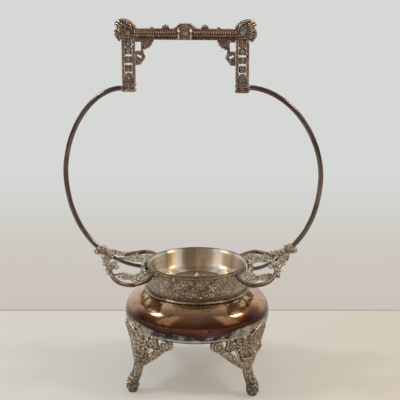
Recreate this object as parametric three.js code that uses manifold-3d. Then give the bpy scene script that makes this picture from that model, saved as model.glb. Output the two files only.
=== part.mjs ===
// Silver-plated stand for a brides basket: a squat belly on four cast legs, a collar with an
// open pan that holds the foot of a glass bowl, and a tall wire hoop with a cast crossbar.
// Lengths are in millimetres, +Z is up, +X runs along the handle and the front faces -Y.
// The origin lies on the belly's axis, on the plane that the feet stand on.
import * as THREE from 'three';
import { mergeVertices } from 'three/addons/utils/BufferGeometryUtils.js';
import Module from 'manifold-3d';

const wasm = await Module();
wasm.setup();

// Clearances and facets
const seam = 0.3; // left between separate castings
const panSeam = 0.2; // left between the pan's wall and the collar
const aroundBody = 32; // facets round everything turned on the belly's axis
const aroundSmall = 12; // facets round nuts, feet and bosses
const aroundLeg = 10; // facets round the parts of a leg
const aroundBud = 8; // facets round buds and drops
const aroundBand = 6; // sides of a leg's scroll band
const aroundWire = 8; // sides of a wire or a thin cast branch

// Belly
const bellyRadius = 64;
const bellyEquatorZ = 57.5;
const bellyDrop = 19.5; // from the widest line down to the bottom
const bellyRise = 26; // from the widest line up to where the dome would close
const bellyDropPower = 2.5; // fullness of the lower curve, 2 is an ellipse
const bellyRisePower = 2.6; // fullness of the upper curve
const bellyWall = 1;
const bellySteps = 6; // steps along each curve

// Collar, flange and pan
const collarFootRadius = 44;
const collarBulge = 1; // how far the collar swells over its foot
const collarNeck = 0.7; // how far it draws in under the rim
const collarHeight = 22.6;
const collarWall = 0.7;
const collarSteps = 5; // steps up its curve
const collarFootHeight = 1.9; // straight part that the flange goes round
const collarSeatWidth = 3; // flat ledge of the belly that the collar stands on
const flangeWidth = 2.1;
const flangeHeight = 1.5;
const panWall = 0.7;
const panDepth = 17; // from the rim down to the floor
const panTaper = 3.4; // how much narrower the pan's floor is than its mouth
const panLipRadius = 0.85; // roll of the bright rim

// Medallion, nuts and bolt
const medallionRadius = 24;
const medallionHeight = 1.2;
const medallionSink = 0.6; // depth of its field below its edge
const boltRadius = 2;
const boltClearance = 0.3;
const acornRadius = 3.6;
const acornHeight = 6.8;
const acornSkirt = 2; // straight part below the point
const washerRadius = 9;
const washerHeight = 1.2;
const bottomNutRadius = 4.4;
const bottomNutHeight = 3;
const boltTail = 1.5; // bolt left standing below its nut
const boltBite = 3; // bolt's reach into the acorn nut

// Legs
const legAngle = Math.PI / 4; // from the front, to each side
const footSpread = 9; // from the belly's widest line out to the middle of a foot
const footHalfWidth = 6.8;
const footHalfHeight = 7.4;
const footSole = 1; // cut off the foot's ball to make it stand flat
const shankHalfWidth = 5.4;
const shankDepth = 3.6;
const kneeSink = 1; // from the belly's widest line in to the middle of the knee plate
const kneeDrop = 15; // from the widest line down to the plate's middle
const kneeHalfWidth = 11;
const kneeHalfHeight = 12.5;
const kneeDepth = 3.4;
const wingSink = 3.5; // from the widest line in to the cylinder that the scrolls lie on
const scrollWire = 2.3; // half the width of the scroll band
const voluteReach = 24.5; // along the cylinder, from the leg's middle to the volute
const voluteDrop = 12.5; // from the widest line down to the volute
const voluteRadius = 6;
const voluteDepth = 4.4;
const curlReach = 10.5;
const curlDrop = 12;
const curlRadius = 3;
const scrollRootDrop = 17; // from the plate's middle down to where the scrolls leave the shank

// Hoop
const hoopHalfWidth = 111.3;
const hoopWideZ = 182;
const hoopLowerReach = 56.4; // sideways size of the lower arc
const hoopEndAngle = THREE.MathUtils.degToRad(62); // how far the lower arc turns in
const hoopCrownZ = 256.8; // where the wires enter the sockets
const armWire = 1.9;
const rodWire = 1.45;
const knuckleZ = 112.5;
const rackedKnuckle = 2.5; // the used frame leans left: right knuckle up, left one down
const rackedLoop = 1.2; // and so are the side loops
const rackedHoop = -1.9; // its hoop is pushed sideways
const rackedHandle = -9.9; // and its handle further still

// Bosses where the centre rods meet the collar
const bossZ = 97;
const bossRadius = 3;
const bossStandOff = 3.6; // from the collar to the ball's middle
const bossDrop = 11; // length of the leaf under the ball

// Knuckles and side loops
const knuckleRadius = 5;
const budRadius = 3.3;
const bloomRadius = 4;
const loopWire = 1.5;
const loopSpread = 48; // how far a loop swings out from the handle's plane
const loopZ = 96.8;
const webDepth = 2;

// Handle
const postSpacing = 97; // between the posts' middles
const postWidth = 11.4;
const postDepth = 4.6;
const postRail = 2.5;
const rosetteRadius = 2.9;
const rosettePitch = 7.4;
const rosetteCount = 3;
const postWindow = 1.8; // height of the open gap above the lowest boss
const lowerBossHeight = 8;
const upperBossHeight = 5.1;
const socketWidth = 13;
const socketHeight = 8;
const socketDepth = 8;
const socketBore = 4; // how deep the wire goes in
const socketRound = 2.2; // of its lower ears
const barHeight = 9.9;
const barDepth = 6.4;
const corniceDepth = 8;
const corniceHeight = 3;
const barFootHeight = 1.6;
const blockWidth = 11;
const blockRise = 4.5; // of the block's top over the bar
const blockShoulder = 5.2; // how far its shoulders run out along the bar
const blockDepth = 9.4;
const blockWebCut = 2; // how much thinner the bar is inside the block
const largeBallRadius = 3.2;
const largeBallReach = 16.7;
const smallBallRadius = 1.5;
const smallBallReach = 28.3;
const endOverlap = 0.9; // how far the end pieces reach in past the post's inner side
const palmetteRise = 8.7; // of the scroll over the bar
const palmetteDepth = 4.4;
const palmetteOverhang = 6; // of the scroll past the post's outer side
const bracketRail = 2.7;
const bracketGap = 5.1; // open gap between post and rail
const bracketDrop = 15;
const bracketDepth = 3.4;
const fanReach = 7.6;
const fanDrop = 8.3;
const hookRadius = 4.2;
const hookWire = 1.3;
const dropBallRadius = 2.8;

// Colours of the worn plate
const tarnished = new THREE.MeshStandardMaterial({ color: 0x8a6f5c, roughness: 0.25, metalness: 1 });
const frieze = new THREE.MeshStandardMaterial({ color: 0x9a9184, roughness: 0.5, metalness: 1 });
const bright = new THREE.MeshStandardMaterial({ color: 0xd8c79c, roughness: 0.22, metalness: 1 });
const pewter = new THREE.MeshStandardMaterial({ color: 0x8d8678, roughness: 0.45, metalness: 1 });
const darkWire = new THREE.MeshStandardMaterial({ color: 0x4a3b34, roughness: 0.3, metalness: 1 });
const ruddy = new THREE.MeshStandardMaterial({ color: 0x76564a, roughness: 0.4, metalness: 1 });
const steel = new THREE.MeshStandardMaterial({ color: 0x77726a, roughness: 0.5, metalness: 1 });

// Heights that follow from the sizes above
const seatEdgeRadius = collarFootRadius + flangeWidth / 3; // outer edge of the ledge under the collar
const seatZ = bellyEquatorZ + superHeight(bellyRadius, bellyRise, bellyRisePower, seatEdgeRadius);
const collarTopZ = seatZ + collarHeight;
const panMouthRadius = collarFootRadius - collarNeck - collarWall - panSeam - panWall;
const panFloorZ = collarTopZ + panLipRadius - panDepth;
const panFloorRadius = panMouthRadius - panTaper;
const bellyBottomZ = bellyEquatorZ - bellyDrop;
const footRadius = bellyRadius + footSpread;
const kneeRadius = bellyRadius - kneeSink;
const kneeZ = bellyEquatorZ - kneeDrop;
const wingRadius = bellyRadius - wingSink;
const voluteZ = bellyEquatorZ - voluteDrop;
const curlZ = bellyEquatorZ - curlDrop;
const boltHole = boltRadius + boltClearance;
const socketMiddleZ = hoopCrownZ;
const socketTopZ = socketMiddleZ + socketHeight / 2;
const postBottomZ = socketTopZ + seam;
const firstRosetteZ = postBottomZ + lowerBossHeight + postWindow + rosetteRadius;
const postTopZ = firstRosetteZ + (rosetteCount - 0.5) * rosettePitch + upperBossHeight;
const barBottomZ = postTopZ + seam;
const barTopZ = barBottomZ + barHeight;
const postX = postSpacing / 2;
const exitX = postX + socketWidth / 2;
const endBlockReach = postX - postWidth / 2 - endOverlap;
const barHalfLength = endBlockReach - seam;

// Radius-to-height relation of a rounded dome: 2 gives an ellipse, more gives fuller shoulders
function superHeight(radius, reach, power, r) {
  return reach * (1 - (r / radius) ** power) ** (1 / power);
}

function superRadius(radius, reach, power, h) {
  return radius * (1 - (h / reach) ** power) ** (1 / power);
}

// Points of such a dome from its widest line to the radius rEnd, on the side given by sign
function domePoints(radius, reach, power, rEnd, sign) {
  const last = Math.acos((rEnd / radius) ** (power / 2));
  const points = [];
  for (let i = 0; i <= bellySteps; i += 1) {
    const angle = last * i / bellySteps;
    const r = radius * Math.cos(angle) ** (2 / power);
    const h = reach * Math.sin(angle) ** (2 / power);
    points.push(new THREE.Vector2(r, bellyEquatorZ + sign * h));
  }
  return points;
}

// One closed skin from a geometry: shared corners merged, flat triangles dropped, faces outward
function closedGeometry(geometry) {
  const bare = geometry.clone();
  bare.deleteAttribute('normal');
  bare.deleteAttribute('uv');
  const merged = mergeVertices(bare, 1e-4);
  const position = merged.attributes.position;
  const corners = merged.index.array;
  const kept = [];
  const a = new THREE.Vector3();
  const b = new THREE.Vector3();
  const c = new THREE.Vector3();
  let volume = 0;
  for (let i = 0; i < corners.length; i += 3) {
    const [p, q, r] = [corners[i], corners[i + 1], corners[i + 2]];
    if (p === q || q === r || r === p) continue;
    kept.push(p, q, r);
    a.fromBufferAttribute(position, p);
    b.fromBufferAttribute(position, q);
    c.fromBufferAttribute(position, r);
    volume += a.dot(b.cross(c));
  }
  if (volume < 0) kept.reverse();
  merged.setIndex(kept);
  return merged;
}

function solidOf(geometry) {
  const closed = closedGeometry(geometry);
  return new wasm.Manifold(new wasm.Mesh({
    numProp: 3,
    vertProperties: new Float32Array(closed.attributes.position.array),
    triVerts: new Uint32Array(closed.index.array),
  }));
}

function geometryOf(solid) {
  const mesh = solid.getMesh();
  const geometry = new THREE.BufferGeometry();
  geometry.setAttribute('position', new THREE.BufferAttribute(mesh.vertProperties, 3));
  geometry.setIndex(new THREE.BufferAttribute(mesh.triVerts, 1));
  return geometry;
}

function joined(geometries) {
  return geometries.map(solidOf).reduce((sum, next) => sum.add(next));
}

// Turned piece: profile of radius and height, closed on itself or ending on the axis
function turned(profile, segments = aroundBody) {
  const points = profile.map((p) => (p instanceof THREE.Vector2 ? p : new THREE.Vector2(p[0], p[1])));
  return closedGeometry(new THREE.LatheGeometry(points, segments).rotateX(Math.PI / 2));
}

function closedProfile(points) {
  return [...points, points[0]];
}

function ball(x, y, z, rx, ry = rx, rz = rx, segments = aroundSmall) {
  const geometry = new THREE.SphereGeometry(1, segments, Math.round(segments / 2));
  geometry.rotateX(Math.PI / 2);
  geometry.scale(rx, ry, rz);
  return geometry.translate(x, y, z);
}

// Round bar along a curve
function bar(curve, radius, steps, sides = aroundWire) {
  const section = new THREE.Shape();
  for (let i = 0; i <= sides; i += 1) {
    const angle = 2 * Math.PI * i / sides;
    const point = [radius * Math.cos(angle), radius * Math.sin(angle)];
    if (i === 0) section.moveTo(...point);
    else section.lineTo(...point);
  }
  return new THREE.ExtrudeGeometry(section, { steps, extrudePath: curve });
}

// Upright plate: an outline in x and z, with its thickness shared to both sides of y = 0
function uprightPlate(shape, depth, curveSegments = 5) {
  const geometry = new THREE.ExtrudeGeometry(shape, { depth, bevelEnabled: false, curveSegments });
  return geometry.rotateX(Math.PI / 2).translate(0, depth / 2, 0);
}

function box(width, depth, height, x, y, z) {
  return new THREE.BoxGeometry(width, depth, height).translate(x, y, z);
}

function named(name, geometry, material) {
  const mesh = new THREE.Mesh(geometry, material);
  mesh.name = name;
  return mesh;
}

// Belly

function bodyLower() {
  const outer = domePoints(bellyRadius, bellyDrop, bellyDropPower, boltHole, -1);
  const inner = domePoints(bellyRadius - bellyWall, bellyDrop - bellyWall, bellyDropPower, boltHole, -1);
  return turned(closedProfile([...outer, ...inner.reverse()]));
}

function bodyUpper() {
  const outer = domePoints(bellyRadius, bellyRise, bellyRisePower, seatEdgeRadius, 1);
  const ledgeRadius = collarFootRadius - collarSeatWidth;
  const ledgeZ = seatZ - bellyWall;
  const innerRadius = bellyRadius - bellyWall;
  const innerReach = bellyRise - bellyWall;
  const innerEnd = superRadius(innerRadius, innerReach, bellyRisePower, ledgeZ - bellyEquatorZ);
  const inner = domePoints(innerRadius, innerReach, bellyRisePower, innerEnd, 1);
  const ledge = [new THREE.Vector2(ledgeRadius, seatZ), new THREE.Vector2(ledgeRadius, ledgeZ)];
  return turned(closedProfile([...outer, ...ledge, ...inner.reverse()]));
}

// Belly's outside made thicker all over, to trim what leans on it
function bellyCutter() {
  const upper = domePoints(bellyRadius + seam, bellyRise + seam, bellyRisePower, boltHole, 1);
  const lower = domePoints(bellyRadius + seam, bellyDrop + seam, bellyDropPower, boltHole, -1);
  const top = new THREE.Vector2(0, upper[upper.length - 1].y);
  const bottom = new THREE.Vector2(0, lower[lower.length - 1].y);
  return solidOf(turned([bottom, ...lower.reverse(), ...upper.slice(1), top]));
}

// Collar

function collarOutside(grow) {
  const curve = new THREE.SplineCurve([
    new THREE.Vector2(collarFootRadius + grow, seatZ + collarFootHeight),
    new THREE.Vector2(collarFootRadius + collarBulge + grow, seatZ + collarHeight * 0.25),
    new THREE.Vector2(collarFootRadius + grow, seatZ + collarHeight * 0.65),
    new THREE.Vector2(collarFootRadius - collarNeck + grow, seatZ + collarHeight * 0.93),
    new THREE.Vector2(collarFootRadius - collarNeck + grow, collarTopZ),
  ]);
  return [new THREE.Vector2(collarFootRadius + grow, seatZ), ...curve.getPoints(collarSteps)];
}

function collar() {
  const inner = collarOutside(-collarWall).reverse();
  return turned(closedProfile([...collarOutside(0), ...inner]));
}

function collarCutter() {
  const outside = collarOutside(seam);
  const top = outside[outside.length - 1].y + 2 * panLipRadius + seam;
  const lipRadius = panMouthRadius + panWall / 2 + panLipRadius + seam;
  const foot = seatZ - seam;
  const flangeOut = collarFootRadius + seam + flangeWidth + seam;
  return solidOf(turned([
    [0, foot],
    [flangeOut, foot],
    [flangeOut, seatZ + flangeHeight + 2 * seam],
    ...outside.slice(2),
    [lipRadius, collarTopZ],
    [lipRadius, top],
    [0, top],
  ]));
}

function collarFlange() {
  const inside = collarFootRadius + seam;
  const outside = inside + flangeWidth;
  const bottom = seatZ + seam;
  return turned(closedProfile([
    [inside, bottom],
    [outside, bottom],
    [outside, bottom + flangeHeight / 3],
    [inside + flangeWidth / 2, bottom + flangeHeight * 0.8],
    [inside, bottom + flangeHeight],
  ]));
}

// Pan with a rolled lip that rests on the collar's top edge
function cupPan() {
  const lipMiddle = panMouthRadius + panWall / 2;
  const lipZ = collarTopZ + panLipRadius;
  const lip = [];
  for (let degrees = 180; degrees >= -90; degrees -= 45) {
    const angle = THREE.MathUtils.degToRad(degrees);
    lip.push([lipMiddle + panLipRadius * Math.cos(angle), lipZ + panLipRadius * Math.sin(angle)]);
  }
  const shoulder = panTaper * 0.25; // the wall bends in most just over the floor
  const wallBend = panFloorZ + panDepth * 0.2;
  return turned(closedProfile([
    [boltHole, panFloorZ],
    [medallionRadius + panSeam, panFloorZ],
    [panFloorRadius, panFloorZ],
    [panFloorRadius + panTaper - shoulder, wallBend],
    [panMouthRadius, lipZ - panLipRadius],
    ...lip,
    [panMouthRadius + panWall, lipZ - panLipRadius - panWall / 2],
    [panFloorRadius + panTaper - shoulder + panWall, wallBend - panWall / 2],
    [panFloorRadius + panWall / 2, panFloorZ - panWall],
    [boltHole, panFloorZ - panWall],
  ]));
}

function cupMedallion() {
  const edge = panFloorZ + medallionHeight;
  const field = edge - medallionSink;
  const edgeWidth = 1.5; // of the raised ring
  return turned(closedProfile([
    [boltHole, panFloorZ],
    [medallionRadius, panFloorZ],
    [medallionRadius, edge],
    [medallionRadius - edgeWidth, edge],
    [medallionRadius - edgeWidth - medallionSink, field],
    [boltHole, field],
  ]));
}

const acornBottomZ = panFloorZ + medallionHeight - medallionSink;
const boltTopZ = acornBottomZ + boltBite;

function acornNut() {
  const skirtTop = acornBottomZ + acornSkirt;
  const rise = acornHeight - acornSkirt;
  return turned([
    [boltHole, acornBottomZ],
    [acornRadius, acornBottomZ],
    [acornRadius, skirtTop],
    [acornRadius * 0.8, skirtTop + rise * 0.35],
    [acornRadius * 0.3, skirtTop + rise * 0.8],
    [0, acornBottomZ + acornHeight],
    [0, boltTopZ + boltClearance],
    [boltHole, boltTopZ + boltClearance],
    [boltHole, acornBottomZ],
  ], aroundSmall);
}

const washerTopZ = bellyBottomZ;
const bottomNutTopZ = washerTopZ - washerHeight;
const boltBottomZ = bottomNutTopZ - bottomNutHeight - boltTail;

function tieBolt() {
  const side = [[boltRadius, boltBottomZ], [boltRadius, boltTopZ]];
  return turned([[0, boltBottomZ], ...side, [0, boltTopZ]], aroundSmall);
}

function bottomWasher() {
  return turned(closedProfile([
    [boltHole, washerTopZ - washerHeight],
    [washerRadius, washerTopZ - washerHeight],
    [washerRadius, washerTopZ],
    [boltHole, washerTopZ],
  ]), aroundSmall);
}

function bottomNut() {
  const hexagon = new THREE.Shape();
  for (let i = 0; i < 6; i += 1) {
    const angle = Math.PI * i / 3;
    const corner = [bottomNutRadius * Math.cos(angle), bottomNutRadius * Math.sin(angle)];
    if (i === 0) hexagon.moveTo(...corner);
    else hexagon.lineTo(...corner);
  }
  hexagon.closePath();
  const bore = new THREE.Path();
  bore.absarc(0, 0, boltHole, 0, 2 * Math.PI, true);
  hexagon.holes.push(bore);
  const options = { depth: bottomNutHeight, bevelEnabled: false, curveSegments: 12 };
  return new THREE.ExtrudeGeometry(hexagon, options).translate(0, 0, bottomNutTopZ - bottomNutHeight);
}

// Legs, built at the front with the leg's middle on the plane x = 0

function onWing(reach, z, radius = wingRadius) {
  const angle = reach / wingRadius;
  return new THREE.Vector3(radius * Math.sin(angle), -radius * Math.cos(angle), z);
}

function roundel(reach, z, radius, depth, fromAxis = wingRadius) {
  const disc = new THREE.CylinderGeometry(radius, radius, depth, aroundLeg);
  const place = onWing(reach, z, fromAxis);
  return disc.rotateZ(reach / wingRadius).translate(place.x, place.y, place.z);
}

function shank() {
  const top = new THREE.Vector3(0, -(kneeRadius + 1), kneeZ - kneeHalfHeight * 0.6);
  const bottom = new THREE.Vector3(0, -footRadius + 1, footHalfHeight);
  const length = top.distanceTo(bottom);
  const post = new THREE.CylinderGeometry(shankHalfWidth + 0.6, shankHalfWidth - 0.6, length, aroundLeg);
  post.scale(1, 1, shankDepth / shankHalfWidth);
  const lean = Math.atan2(top.y - bottom.y, top.z - bottom.z);
  post.rotateX(Math.PI / 2 - lean);
  return post.translate(0, (top.y + bottom.y) / 2, (top.z + bottom.z) / 2);
}

function legScroll(side) {
  const reach = side * voluteReach;
  const band = new THREE.CatmullRomCurve3([
    onWing(reach * 0.12, kneeZ - scrollRootDrop, kneeRadius + 2),
    onWing(reach * 0.37, kneeZ - scrollRootDrop * 0.82, kneeRadius + 0.5),
    onWing(reach * 0.57, kneeZ - scrollRootDrop * 0.59),
    onWing(reach * 0.84, voluteZ - voluteRadius),
    onWing(reach * 1.04, voluteZ - voluteRadius / 2),
  ]);
  return [
    bar(band, scrollWire, 6, aroundBand),
    roundel(reach, voluteZ, voluteRadius, voluteDepth),
    roundel(side * curlReach, curlZ, curlRadius, kneeDepth, kneeRadius - 1),
  ];
}

function leg(turn, cutter) {
  const footZ = footHalfHeight - footSole;
  const foot = ball(0, -footRadius, footZ, footHalfWidth, footHalfWidth, footHalfHeight, aroundLeg);
  const knee = ball(0, -kneeRadius, kneeZ, kneeHalfWidth, kneeDepth, kneeHalfHeight, aroundLeg);
  const whole = joined([foot, shank(), knee, ...legScroll(-1), ...legScroll(1)]);
  const span = 4 * footRadius;
  const aboveFloor = solidOf(box(span, span, span, 0, 0, span / 2));
  const turnedGeometry = geometryOf(whole.intersect(aboveFloor)).rotateZ(turn);
  return geometryOf(solidOf(turnedGeometry).subtract(cutter));
}

// Hoop wires: a quarter arc from the socket to the widest point, then a longer arc turning in
// under it, both elliptical
class HoopArm extends THREE.Curve {
  constructor(side) {
    super();
    this.side = side;
    this.start = new THREE.Vector2(side * (exitX - socketBore) + rackedHandle, hoopCrownZ);
    this.exit = new THREE.Vector2(side * exitX + rackedHandle, hoopCrownZ);
    this.wide = new THREE.Vector2(side * hoopHalfWidth + rackedHoop, hoopWideZ);
    this.endZ = knuckleZ + side * rackedKnuckle;
  }

  getPoint(t, target = new THREE.Vector3()) {
    const straight = 0.03; // share of the run that lies inside the socket
    if (t < straight) {
      const x = THREE.MathUtils.lerp(this.start.x, this.exit.x, t / straight);
      return target.set(x, 0, hoopCrownZ);
    }
    const angle = THREE.MathUtils.lerp(Math.PI / 2, -hoopEndAngle, (t - straight) / (1 - straight));
    if (angle > 0) {
      const x = this.exit.x + (this.wide.x - this.exit.x) * Math.cos(angle);
      return target.set(x, 0, hoopWideZ + (hoopCrownZ - hoopWideZ) * Math.sin(angle));
    }
    const x = this.wide.x - this.side * hoopLowerReach * (1 - Math.cos(angle));
    const reach = (hoopWideZ - this.endZ) / Math.sin(hoopEndAngle);
    return target.set(x, 0, hoopWideZ + reach * Math.sin(angle));
  }
}

const armSteps = 40;
const loopSteps = 18;
const wireEndGap = 2; // between the ends of arm and rod, inside the knuckle

function knuckleCentre(side) {
  return new HoopArm(side).getPoint(1);
}

// Direction in which the hoop wire leaves the knuckle
function armDirection(side) {
  return new HoopArm(side).getTangent(1).negate();
}

function hoopArm(side) {
  return bar(new HoopArm(side), armWire, armSteps);
}

function bossCentre(side) {
  return new THREE.Vector3(side * (collarFootRadius + bossStandOff), 0, bossZ);
}

function rodCurve(side) {
  const start = knuckleCentre(side).addScaledVector(armDirection(side), -wireEndGap);
  const end = bossCentre(side);
  const sag = new THREE.Vector3((start.x + end.x) / 2, 0, bossZ + bossRadius / 4);
  return new THREE.QuadraticBezierCurve3(start, sag, end);
}

const rodSteps = 10;

function centreRod(side) {
  return bar(rodCurve(side), rodWire, rodSteps);
}

// Buds of a knuckle: each one's place along the wire, over it and to the side, in knuckle radii
const buds = [
  [1.32, 0.48, 0],
  [0, 1.22, 0],
  [-1.36, 0.44, 0],
  [0.04, -0.64, 0.9],
  [0.04, -0.64, -0.9],
];

// Blossom with its buds round the place where arm, rod and side loops meet
function knuckleShape(side, grow) {
  const at = knuckleCentre(side);
  const along = armDirection(side);
  const over = new THREE.Vector3(-side * along.z, 0, side * along.x);
  const middle = knuckleRadius + grow;
  const bud = budRadius + grow;
  const places = buds.map(([u, w, v]) => {
    const place = at.clone().addScaledVector(along, u * knuckleRadius);
    place.addScaledVector(over, w * knuckleRadius);
    place.y = v * knuckleRadius;
    return place;
  });
  const balls = places.map((p) => ball(p.x, p.y, p.z, bud, bud, bud, aroundBud));
  return joined([ball(at.x, 0, at.z, middle, middle, middle, aroundBud), ...balls]);
}

function knuckle(side) {
  const arm = solidOf(bar(new HoopArm(side), armWire + seam, armSteps));
  const rod = solidOf(bar(rodCurve(side), rodWire + seam, rodSteps));
  return geometryOf(knuckleShape(side, 0).subtract(arm).subtract(rod));
}

function armBoss(side, cutter) {
  const at = bossCentre(side);
  const leaf = ball(at.x - side * 1.5, 0, at.z - bossDrop / 2, 2, 3, bossDrop / 2 + 1, aroundBud);
  const whole = joined([ball(at.x, 0, at.z, bossRadius, bossRadius, bossRadius, aroundBud), leaf]);
  const rod = solidOf(bar(rodCurve(side), rodWire + seam, rodSteps));
  return geometryOf(whole.subtract(cutter).subtract(rod));
}

// Route of a side loop in shares: of the way from the knuckle in to the collar, of the loop's
// spread, and of the height from the loop up to the knuckle
const loopRoute = [
  [0, 0.12, 0.88],
  [0.1, 0.3, 0.7],
  [0.2, 0.53, 0.38],
  [0.3, 0.72, 0.1],
  [0.46, 0.9, 0],
  [0.67, 1, 0],
  [0.79, 0.93, 0.02],
  [0.925, 0.77, 0.06],
  [1, 0.56, 0.13],
];

// Side loop: a branch from the knuckle round to the collar, with a leafy web on its inside
function loopCurve(side, face) {
  const at = knuckleCentre(side);
  const lowZ = loopZ + side * rackedLoop;
  const collarX = side * collarFootRadius * 0.845;
  return new THREE.CatmullRomCurve3(loopRoute.map(([inward, out, up]) => new THREE.Vector3(
    THREE.MathUtils.lerp(at.x, collarX, inward),
    face * loopSpread * out,
    THREE.MathUtils.lerp(lowZ, at.z, up),
  )));
}

function loopWeb(side, face) {
  const x = (share) => side * collarFootRadius * share;
  const y = (share) => face * loopSpread * share;
  const outline = new THREE.Shape();
  outline.moveTo(x(0.89), y(0.6));
  outline.quadraticCurveTo(x(1), y(1.02), x(1.23), y(1));
  outline.lineTo(x(1.43), y(0.87));
  outline.quadraticCurveTo(x(1.32), y(0.63), x(1.07), y(0.42));
  outline.closePath();
  const options = { depth: webDepth, bevelEnabled: false, curveSegments: 6 };
  const webZ = loopZ + side * rackedLoop - webDepth / 2;
  return new THREE.ExtrudeGeometry(outline, options).translate(0, 0, webZ);
}

function sideLoop(side, face, collarSolid) {
  const curve = loopCurve(side, face);
  const bloomAt = curve.getPoint(0.24);
  const bloomX = bloomAt.x - side * bloomRadius * 0.75;
  const bloomZ = bloomAt.z - bloomRadius / 2;
  const bloom = ball(bloomX, bloomAt.y, bloomZ, bloomRadius, bloomRadius, bloomRadius * 0.8, aroundBud);
  const whole = joined([bar(curve, loopWire, loopSteps), loopWeb(side, face), bloom]);
  const rod = solidOf(bar(rodCurve(side), rodWire + 2 * seam, rodSteps));
  const arm = solidOf(bar(new HoopArm(side), armWire + 2 * seam, armSteps));
  const trimmed = whole.subtract(collarSolid).subtract(knuckleShape(side, seam));
  return geometryOf(trimmed.subtract(rod).subtract(arm));
}

// Handle pieces, drawn for the right and mirrored for the left

function mirrored(geometry, side) {
  return side > 0 ? geometry : closedGeometry(geometry.scale(-1, 1, 1));
}

function handlePost(side) {
  const half = postWidth / 2;
  const field = half - postRail;
  const outline = new THREE.Shape();
  outline.moveTo(-half, postBottomZ);
  outline.lineTo(half, postBottomZ);
  outline.lineTo(half, postTopZ);
  outline.lineTo(-half, postTopZ);
  outline.closePath();
  const windowZ = postBottomZ + lowerBossHeight;
  const opening = rosettePitch * 0.3; // half the height of the gaps at the rails
  const neck = field * 0.28; // half the width left between two rosettes
  const window = new THREE.Path();
  window.moveTo(-field, windowZ);
  window.lineTo(-field, windowZ + postWindow + opening);
  window.quadraticCurveTo(0, windowZ + postWindow - opening, field, windowZ + postWindow + opening);
  window.lineTo(field, windowZ);
  window.closePath();
  outline.holes.push(window);
  for (let i = 0; i < rosetteCount; i += 1) {
    const z = firstRosetteZ + (i + 0.5) * rosettePitch;
    for (const end of [-1, 1]) {
      const gap = new THREE.Path();
      gap.moveTo(end * field, z - opening);
      gap.quadraticCurveTo(end * field * 0.55, z - opening * 0.25, end * neck, z);
      gap.quadraticCurveTo(end * field * 0.55, z + opening * 0.25, end * field, z + opening);
      gap.closePath();
      outline.holes.push(gap);
    }
  }
  return uprightPlate(outline, postDepth, 3).translate(side * postX, 0, 0);
}

function socketBlock(side) {
  const half = socketWidth / 2;
  const bottom = socketTopZ - socketHeight;
  const outline = new THREE.Shape();
  outline.moveTo(-half + socketRound, bottom);
  outline.quadraticCurveTo(0, bottom + socketRound * 0.6, half - socketRound, bottom);
  outline.quadraticCurveTo(half, bottom, half, bottom + socketRound);
  outline.lineTo(half, socketTopZ - 1);
  outline.lineTo(half - 1, socketTopZ);
  outline.lineTo(-half + 1, socketTopZ);
  outline.lineTo(-half, socketTopZ - 1);
  outline.lineTo(-half, bottom + socketRound);
  outline.quadraticCurveTo(-half, bottom, -half + socketRound, bottom);
  const block = solidOf(uprightPlate(outline, socketDepth).translate(side * postX, 0, 0));
  const wire = solidOf(bar(new HoopArm(side), armWire + seam, armSteps).translate(-rackedHandle, 0, 0));
  const boreEnd = side * (exitX - socketBore);
  const endRoom = solidOf(box(seam * 2, 2 * armWire, 2 * armWire, boreEnd, 0, hoopCrownZ));
  return geometryOf(block.subtract(wire).subtract(endRoom));
}

// Crossbar with its cornice and foot moulding, seen from its end
function handleBar() {
  const half = barDepth / 2;
  const lip = corniceDepth / 2;
  const ledge = corniceHeight + 2.6; // down from the top to the ledge under the bead row
  const section = new THREE.Shape();
  section.moveTo(-half - 0.5, barBottomZ);
  section.lineTo(half + 0.5, barBottomZ);
  section.lineTo(half + 0.5, barBottomZ + barFootHeight);
  section.lineTo(half - 0.3, barBottomZ + barFootHeight + 0.8);
  section.lineTo(half - 0.3, barTopZ - ledge - 0.8);
  section.lineTo(half + 0.5, barTopZ - ledge);
  section.lineTo(half, barTopZ - corniceHeight - 0.5);
  section.lineTo(lip, barTopZ - corniceHeight + 0.8);
  section.lineTo(lip, barTopZ);
  section.lineTo(-lip, barTopZ);
  section.lineTo(-lip, barTopZ - corniceHeight + 0.8);
  section.lineTo(-half, barTopZ - corniceHeight - 0.5);
  section.lineTo(-half - 0.5, barTopZ - ledge);
  section.lineTo(-half + 0.3, barTopZ - ledge - 0.8);
  section.lineTo(-half + 0.3, barBottomZ + barFootHeight + 0.8);
  section.lineTo(-half - 0.5, barBottomZ + barFootHeight);
  section.closePath();
  const options = { depth: 2 * barHalfLength, bevelEnabled: false };
  const whole = new THREE.ExtrudeGeometry(section, options).translate(0, 0, -barHalfLength);
  whole.rotateX(Math.PI / 2).rotateZ(Math.PI / 2);
  const middleZ = barBottomZ + barHeight / 2;
  const slot = solidOf(box(blockWidth + 2 * seam, 2 * corniceDepth, 2 * barHeight, 0, 0, middleZ));
  const keptWeb = solidOf(box(blockWidth + 4 * seam, barDepth - blockWebCut, barHeight, 0, 0, middleZ));
  return geometryOf(solidOf(whole).subtract(slot).add(keptWeb));
}

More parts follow.
